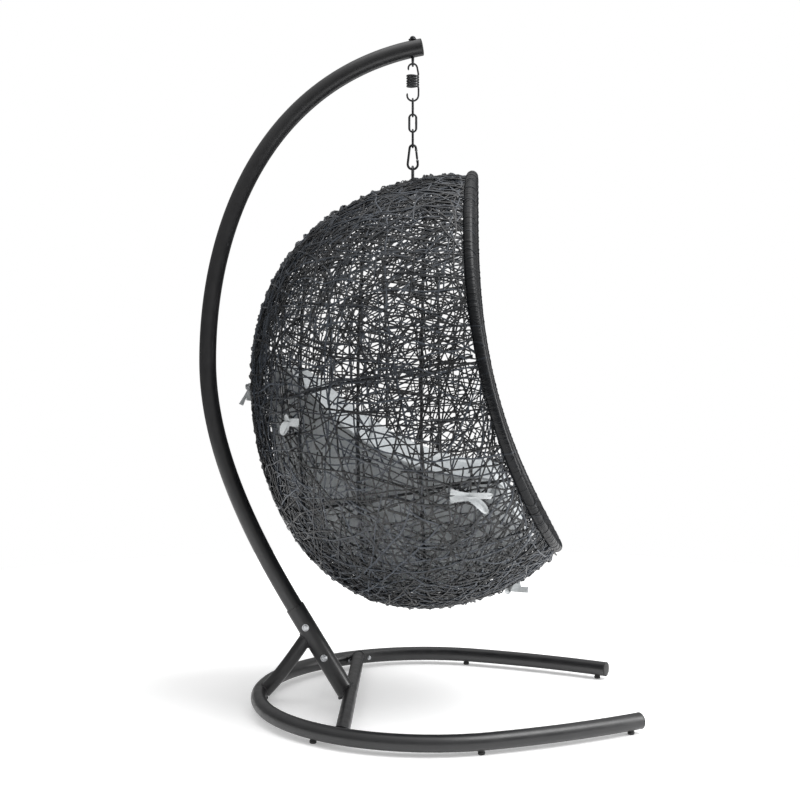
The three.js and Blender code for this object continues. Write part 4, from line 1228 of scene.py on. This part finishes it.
def tally_cells(directions, points):
    """The cells of space that a strand crosses, each with its heading there."""
    level = unit(np.cross(Z_AXIS, directions))
    rising = np.cross(directions, level)
    along = directions_along(directions)
    heading = np.arctan2((along * rising).sum(axis=1), (along * level).sum(axis=1)) / math.pi
    cells = ((points - TALLY_LOW) / TALLY_CELL).astype(int)
    cells = np.clip(cells, 0, np.array(TALLY.shape[:3]) - 1)
    return (*cells.T, np.round(heading * HEADINGS).astype(int) % HEADINGS)


def random_start():
    """A direction to a point of the woven wall, more often where the weave is dense."""
    while True:
        direction = unit(RANDOM.normal(0, 1, 3))
        point = egg(direction)
        if point[0] < rim_x(point[2]) and RANDOM.uniform(0, DENSITY_MOST) < density(point):
            return direction


def random_heading():
    """Most strands run any way; some follow the level ribs and some the upright ones."""
    kind = RANDOM.uniform()
    for share, heading, spread in RIB_RUNS:
        if kind < share:
            return RANDOM.normal(heading, spread) * DEGREE
    return RANDOM.uniform(0, 180) * DEGREE


def crowding(directions):
    """How full of strands with its own heading the wall is along a strand, next to how full it should be."""
    points = egg(directions)
    inside = points[:, 0] < rim_x(points[:, 2])
    if inside.sum() < 8:
        return math.inf
    cells = tally_cells(directions, points)
    same = TALLY[cells]
    near = TALLY[(*cells[:3], (cells[3] + 1) % HEADINGS)] + TALLY[(*cells[:3], (cells[3] - 1) % HEADINGS)]
    return ((same + 0.5 * near) / density(points))[inside].mean()


def lay_field(shape, metres):
    """Strands at random over the wall. Each is the one of several choices that fills the emptiest places."""
    laid = 0
    while laid < metres:
        offers = []
        for _ in range(FIELD_CHOICES):
            bend = np.clip(RANDOM.normal(0, FIELD_BEND["usual"]), -FIELD_BEND["most"], FIELD_BEND["most"])
            arc = arc_directions(random_start(), random_heading(), bend, RANDOM.uniform(*FIELD_LENGTHS))
            offers.append((crowding(arc), len(offers), arc))
        arc = min(offers)[2]
        np.add.at(TALLY, tally_cells(arc, egg(arc)), 1)
        laid += add_strand(shape, arc, strand_insets(len(arc)))


def even_directions(directions):
    """The same line on the egg, with a point every strand step, and the distance along it."""
    run = lengths_along(egg(directions))
    wanted = np.linspace(0, run[-1], round(run[-1] / STRAND_STEP))
    return unit(np.stack([np.interp(wanted, run, directions[:, i]) for i in range(3)], axis=1)), wanted


def lay_along_rib(shape, directions, strands, sway, inset, wavelength=(0.07, 0.13)):
    """Strands that run with a rib and cross it again and again, so that it is bound in."""
    even, run = even_directions(directions)
    aside = unit(np.cross(even, directions_along(even)))
    for _ in range(strands):
        angle = 2 * math.pi * run / RANDOM.uniform(*wavelength) + RANDOM.uniform(0, 2 * math.pi)
        swing = RANDOM.uniform(0.4, 1) * sway / EGG_MEAN_RADIUS
        shifted = unit(even + (swing * np.sin(angle))[:, None] * aside)
        add_strand(shape, shifted, inset + RANDOM.uniform(0, 0.004) - 0.0015 * np.cos(2 * angle))


def lay_over_rib(shape, directions, strands, height):
    """Bundles of strands that cross a rib and stand up over it, which give the egg its knobbly outline."""
    even, run = even_directions(directions)
    centre = 0.0
    while centre < run[-1]:
        centre += RANDOM.uniform(*KNOB_PITCH)
        lean = RANDOM.normal(*KNOB_LEAN)
        for _ in range(strands):
            aside = RANDOM.normal(0, KNOB_SPREAD)
            reach = RANDOM.uniform(*KNOB_REACH)
            across = np.linspace(-reach, reach, round(2 * reach / KNOB_STEP))
            at = centre + aside + (lean + RANDOM.normal(0, KNOB_STRAY)) * across
            place_at = np.interp(at, run, np.arange(len(run)))
            low = np.clip(place_at.astype(int), 0, len(run) - 2)
            base = even[low] + (place_at - low)[:, None] * (even[low + 1] - even[low])
            along = unit(even[low + 1] - even[low])
            bent = unit(base + np.tan(across / KNOB_RADIUS)[:, None] * np.cross(base, along))
            hump = np.exp(-(across / KNOB_WIDTH) ** 2 - (aside / KNOB_SLOPE) ** 2)
            add_strand(shape, bent, RANDOM.uniform(*KNOB_INSET) - height * hump * RANDOM.uniform(*KNOB_PART))


def make_weave():
    """The woven skin: the field, the strands that bind the ribs in, and the bundles that stand over them."""
    for i in range(FIELD_PIECES):
        shape = Shape()
        lay_field(shape, FIELD_METRES / FIELD_PIECES)
        put_seat(shape, f"weave_layer_{i + 1}", "rattan", *([] if i else ["basket_weave"]))
    high, low = spine_ends()
    spine = spine_directions(np.linspace(high, low, 300))
    ribs = [egg_direction(egg_slice(0.0, lambda z: 0 * z + x, 300)) for x in HOOP_RIB_X.values()]
    levels = [side_rib_directions(z, 300) for z in SIDE_RIB_Z.values()]
    bound = Shape()
    lay_along_rib(bound, spine, 6, 0.030, 0.002)
    lay_along_rib(bound, spine, 20, 0.120, 0.004, (0.2, 0.5))
    for line in ribs + levels:
        lay_along_rib(bound, line, 1, 0.010, 0.005)
    put_seat(bound, "weave_bindings", "rattan")
    spine_knobs = Shape()
    lay_over_rib(spine_knobs, spine, 9, 0.015)
    put_seat(spine_knobs, "weave_spine_knobs", "rattan")
    hoop_knobs = Shape()
    for line in ribs:
        lay_over_rib(hoop_knobs, line, 1, 0.007)
    put_seat(hoop_knobs, "weave_hoop_knobs", "rattan")


make_weave()

# ------------------------------------------------------------------ cushion

CUSHION_SEAMS = 6
CUSHION_RING = 0.62  # angle from its middle to the round seam, in radians
SEAM_DEPTH = 0.010
SEAM_WIDTH = 0.010
PIPING_RADIUS = 0.0042
PIPING_POINTS = 420
CUSHION_MARGIN = 0.010  # left for the cover to be blown up into
CUSHION_VOXEL = 0.0085
CUSHION_BLOW = {"pressure": 4, "frames": 20, "cap": 0.014}
CUSHION_REACH = 0.028  # how much nearer the rim the soft edge comes than the form it is made on


def cushion_direction(angles, turns):
    """Directions at angles from the cushion's middle, turned round that."""
    second = np.cross(Y_AXIS, CUSHION_AXIS)
    aside = np.cos(turns)[..., None] * Y_AXIS + np.sin(turns)[..., None] * second
    return np.cos(angles)[..., None] * CUSHION_AXIS + np.sin(angles)[..., None] * aside


def cushion_edge(turns):
    """How far the cushion reaches from its middle, in each direction."""

    def outside(angles):
        points = egg(cushion_direction(angles, turns), CUSHION_INSET)
        x, z = points[:, 0], points[:, 2]
        wing = CUSHION_WING["z"] + CUSHION_WING["curve"] * np.minimum(x - CUSHION_WING["x"], 0) ** 2
        limits = np.stack([z - wing, z - CUSHION_BACK_Z, x - rim_x(z) + CUSHION_RIM_SETBACK - CUSHION_REACH])
        return CUSHION_CORNER * np.log(np.exp(limits / CUSHION_CORNER).sum(axis=0))

    return edge_angles(outside, len(turns), 0.8 * math.pi)


def cushion_skin(rings, segments, margin):
    """The closed form of the cushion, a margin smaller all over than its place in the seat."""
    turns = 2 * math.pi * np.arange(segments) / segments
    edges = cushion_edge(turns) - margin / 0.5
    rows = []
    for row in range(2 * rings):
        back = row < rings
        part = (row + 0.5) / rings if back else (2 * rings - row - 0.5) / rings
        crown = (CUSHION_THICKNESS - CUSHION_EDGE) * math.sqrt(1 - part ** 6)
        inset = CUSHION_INSET + CUSHION_EDGE_ROUND * part ** 10 + margin
        if not back:
            inset = CUSHION_INSET + CUSHION_EDGE + crown - margin
        rows.append(egg(cushion_direction(part * edges, turns), inset))
    return np.array(rows), ring_faces(2 * rings, segments)


def modified(piece, kind, **settings):
    """Adds a modifier and applies it."""
    modifier = piece.modifiers.new(kind.lower(), kind)
    for name, value in settings.items():
        setattr(modifier, name, value)
    bpy.context.view_layer.objects.active = piece
    with bpy.context.temp_override(object=piece, active_object=piece, selected_objects=[piece]):
        bpy.ops.object.modifier_apply(modifier=modifier.name)


def read_all(items, name):
    """A vector of each item in one of a mesh's collections."""
    flat = np.empty(len(items) * 3)
    items.foreach_get(name, flat)
    return flat.reshape(-1, 3)


def set_vertices(piece, points):
    piece.data.vertices.foreach_set("co", np.asarray(points, float).ravel())
    piece.data.update()


def inflate(piece, pressure, frames, cap):
    """Blows the cover up as cloth, and keeps each point within a cap of where it began."""
    before = read_all(piece.data.vertices, "co")
    cloth = piece.modifiers.new("cloth", "CLOTH")
    cloth.settings.use_pressure = True
    cloth.settings.uniform_pressure_force = pressure
    cloth.settings.quality = 5
    cloth.settings.tension_stiffness = 12
    cloth.settings.bending_stiffness = 0.4
    cloth.settings.effector_weights.gravity = 0
    cloth.point_cache.frame_end = frames
    scene = bpy.context.scene
    for number in range(1, frames + 1):
        scene.frame_set(number)
    shown = piece.evaluated_get(bpy.context.evaluated_depsgraph_get())
    move = read_all(shown.data.vertices, "co") - before
    far = np.linalg.norm(move, axis=1, keepdims=True)
    piece.modifiers.remove(cloth)
    scene.frame_set(1)
    set_vertices(piece, before + move * np.minimum(1, cap / np.maximum(far, 1e-9)))


def seam_distance(points):
    """How far each point is from the nearest seam of the cover, in metres."""
    directions = egg_direction(hang(points, -SEAT_YAW))
    angle = np.arccos(np.clip(directions @ CUSHION_AXIS, -1, 1))
    second = np.cross(Y_AXIS, CUSHION_AXIS)
    turn = np.arctan2(directions @ second, directions @ Y_AXIS)
    spread = 2 * math.pi / CUSHION_SEAMS
    aside = np.abs((turn - math.pi / 2 + spread / 2) % spread - spread / 2)
    radial = np.where(angle > CUSHION_RING, aside * np.sin(angle) * 0.5, 1)
    return np.minimum(radial, np.abs(angle - CUSHION_RING) * 0.5)


def make_cushion():
    """The pad, voxel remeshed, blown up and dented along its seams, and the piping round its edge."""
    rows, faces = cushion_skin(26, 110, CUSHION_MARGIN)
    shape = Shape()
    shape.add(hang(rows), faces)
    pad = shape.build("cushion", MATERIAL["cushion_fabric"], 180)
    modified(pad, "REMESH", mode="VOXEL", voxel_size=CUSHION_VOXEL, use_smooth_shade=True)
    inflate(pad, **CUSHION_BLOW)
    modified(pad, "SUBSURF", levels=1)
    points = read_all(pad.data.vertices, "co")
    dent = SEAM_DEPTH * np.exp(-(seam_distance(points) / SEAM_WIDTH) ** 2)
    set_vertices(pad, points - read_all(pad.data.vertex_normals, "vector") * dent[:, None])
    pad.data.shade_smooth()
    place(pad, "seat", "cushion_fabric", "seat_cushion")

    surface = BVHTree.FromObject(pad, bpy.context.evaluated_depsgraph_get())
    turns = 2 * math.pi * np.arange(PIPING_POINTS) / PIPING_POINTS
    edges = cushion_edge(turns) + 0.004
    welt = hang(egg(cushion_direction(edges, turns), CUSHION_INSET + 0.019))
    near = np.array([surface.find_nearest(Vector(point))[0] for point in welt])
    shape = Shape()
    even = resample(np.concatenate([near, near[:1]]), len(near) + 1)[:-1]
    add_tube(shape, even, PIPING_RADIUS, 8, Z_AXIS, closed=True)
    put(shape, "cushion_piping", "seat", "cushion_fabric")


make_cushion()

# ------------------------------------------------------------------ cushion ties

RIBBON_POINTS = 40
RIBBON_WIDTH = 0.017
RIBBON_THICKNESS = 0.0010
TIE_STANDOFF = 0.005
# Each part of a bow, in millimetres along, up and out from the knot, and how far it twists.
LONG_BOW = {
    "tail_upper": ([(4, 1, 2), (-14, 5, 5), (-34, 9, 4), (-51, 12, 2)], 0.5),
    "tail_lower": ([(4, -2, 2), (-14, -3, 6), (-34, -6, 4), (-50, -11, 2)], -0.6),
    "loop_upper": ([(-4, 1, 3), (18, 3, 9), (44, 4, 10), (61, 0, 5), (42, -3, 2), (4, 0, 1)], 0.9),
    "loop_lower": ([(-4, -2, 3), (14, -13, 9), (35, -35, 10), (46, -46, 5), (38, -24, 2), (4, -2, 1)], 0.8),
}
SHORT_BOW = {
    "tail_upper": ([(4, 0, 2), (-14, 1, 6), (-30, 2, 5), (-44, 1, 3)], 0.3),
    "tail_lower": ([(4, -2, 2), (-12, -3, 4), (-25, -4, 3), (-39, -3, 2)], -0.2),
    "loop_upper": ([(-4, -2, 3), (-2, 7, 8), (0, 13, 8), (4, 13, 4), (5, 7, 2), (4, 0, 1)], 0.3),
    "loop_lower": ([(-4, 0, 3), (12, -8, 9), (20, -24, 10), (18, -33, 6), (10, -22, 2), (2, -2, 1)], 0.5),
}
HANGING_BOW = {
    "tail_outer": ([(2, 0, 2), (-12, 2, 12), (-30, 3, 24), (-50, 2, 35)], 0.3),
    "tail_inner": ([(2, -2, 2), (-12, -5, 5), (-26, -7, 7), (-38, -7, 10)], -0.4),
    "loop_left": ([(-2, 2, 3), (2, 14, 8), (3, 30, 8), (1, 38, 5), (-1, 26, 2), (0, 2, 1)], 0.4),
    "loop_right": ([(-2, -2, 3), (2, -14, 8), (4, -28, 9), (2, -36, 5), (-1, -24, 2), (0, -2, 1)], -0.4),
}
# For each tie: its form, its turn from the back and its height, its own turn on the wall,
# 1 or -1 if mirrored, and how far its ribbon is tipped on edge.
TIES = {
    "rear": (HANGING_BOW, 0, 0.936, 90, 1, 35),
    "rear_right": (SHORT_BOW, -44, 0.846, 0, -1, 0),
    "rear_left": (SHORT_BOW, 44, 0.846, 0, 1, 0),
    "front_right": (LONG_BOW, -101, 0.661, 0, 1, 0),
    "front_left": (LONG_BOW, 101, 0.661, 0, -1, 0),
    "bottom": (HANGING_BOW, 180, 0.354, -90, 1, 90),
}


def ribbon(shape, controls, face, twist=0.0):
    """A flat ribbon along a smooth line; its face starts out looking one way and twists along its length."""
    line = smoothed(resample(np.asarray(controls, float), RIBBON_POINTS), 16)
    along = directions_along(line)
    across = unit(np.cross(along, np.broadcast_to(np.asarray(face, float), line.shape)))
    up = np.cross(across, along)
    turn = twist * np.sin(np.linspace(0, math.pi, RIBBON_POINTS))[:, None]
    across, up = across * np.cos(turn) + up * np.sin(turn), up * np.cos(turn) - across * np.sin(turn)
    half, thin = RIBBON_WIDTH / 2, RIBBON_THICKNESS / 2
    outline = [(-half, -thin), (half, -thin), (half, thin), (-half, thin)]
    shape.add(*swept(line, across, up, outline))


def make_tie(name, bow, turn, z, spin, way, tip):
    """A ribbon tied in a bow outside the weave: two tails, two loops and the knot."""
    s = (z - EGG_MIDDLE[1]) / EGG_HALF[1]
    c = math.sqrt(1 - s * s)
    direction = np.array([-c * math.cos(turn * DEGREE), c * math.sin(turn * DEGREE), s])
    out = egg_normal(direction[None])[0]
    level = unit(np.cross(Z_AXIS, out))
    rising = np.cross(out, level)
    along = way * (math.cos(spin * DEGREE) * level + math.sin(spin * DEGREE) * rising)
    up = way * np.cross(out, along)
    origin = egg(direction) + out * TIE_STANDOFF

    def at(a, b, c):
        return origin + (a * along + b * up + c * out) / 1000

    shape = Shape()
    face = math.cos(tip * DEGREE) * out + math.sin(tip * DEGREE) * up
    for controls, twist in bow.values():
        ribbon(shape, [at(*control) for control in controls], face, twist)
    angles = np.linspace(0, 2 * math.pi, 20)
    knot = [at(7 * math.cos(angle) + 1, 0, 4 + 4 * math.sin(angle)) for angle in angles]
    ribbon(shape, knot, up)
    put_seat(shape, f"tie_{name}", "tie_fabric", f"cushion_tie_{name}", sharp=50)


for tie_name, tie_form in TIES.items():
    make_tie(tie_name, *tie_form)
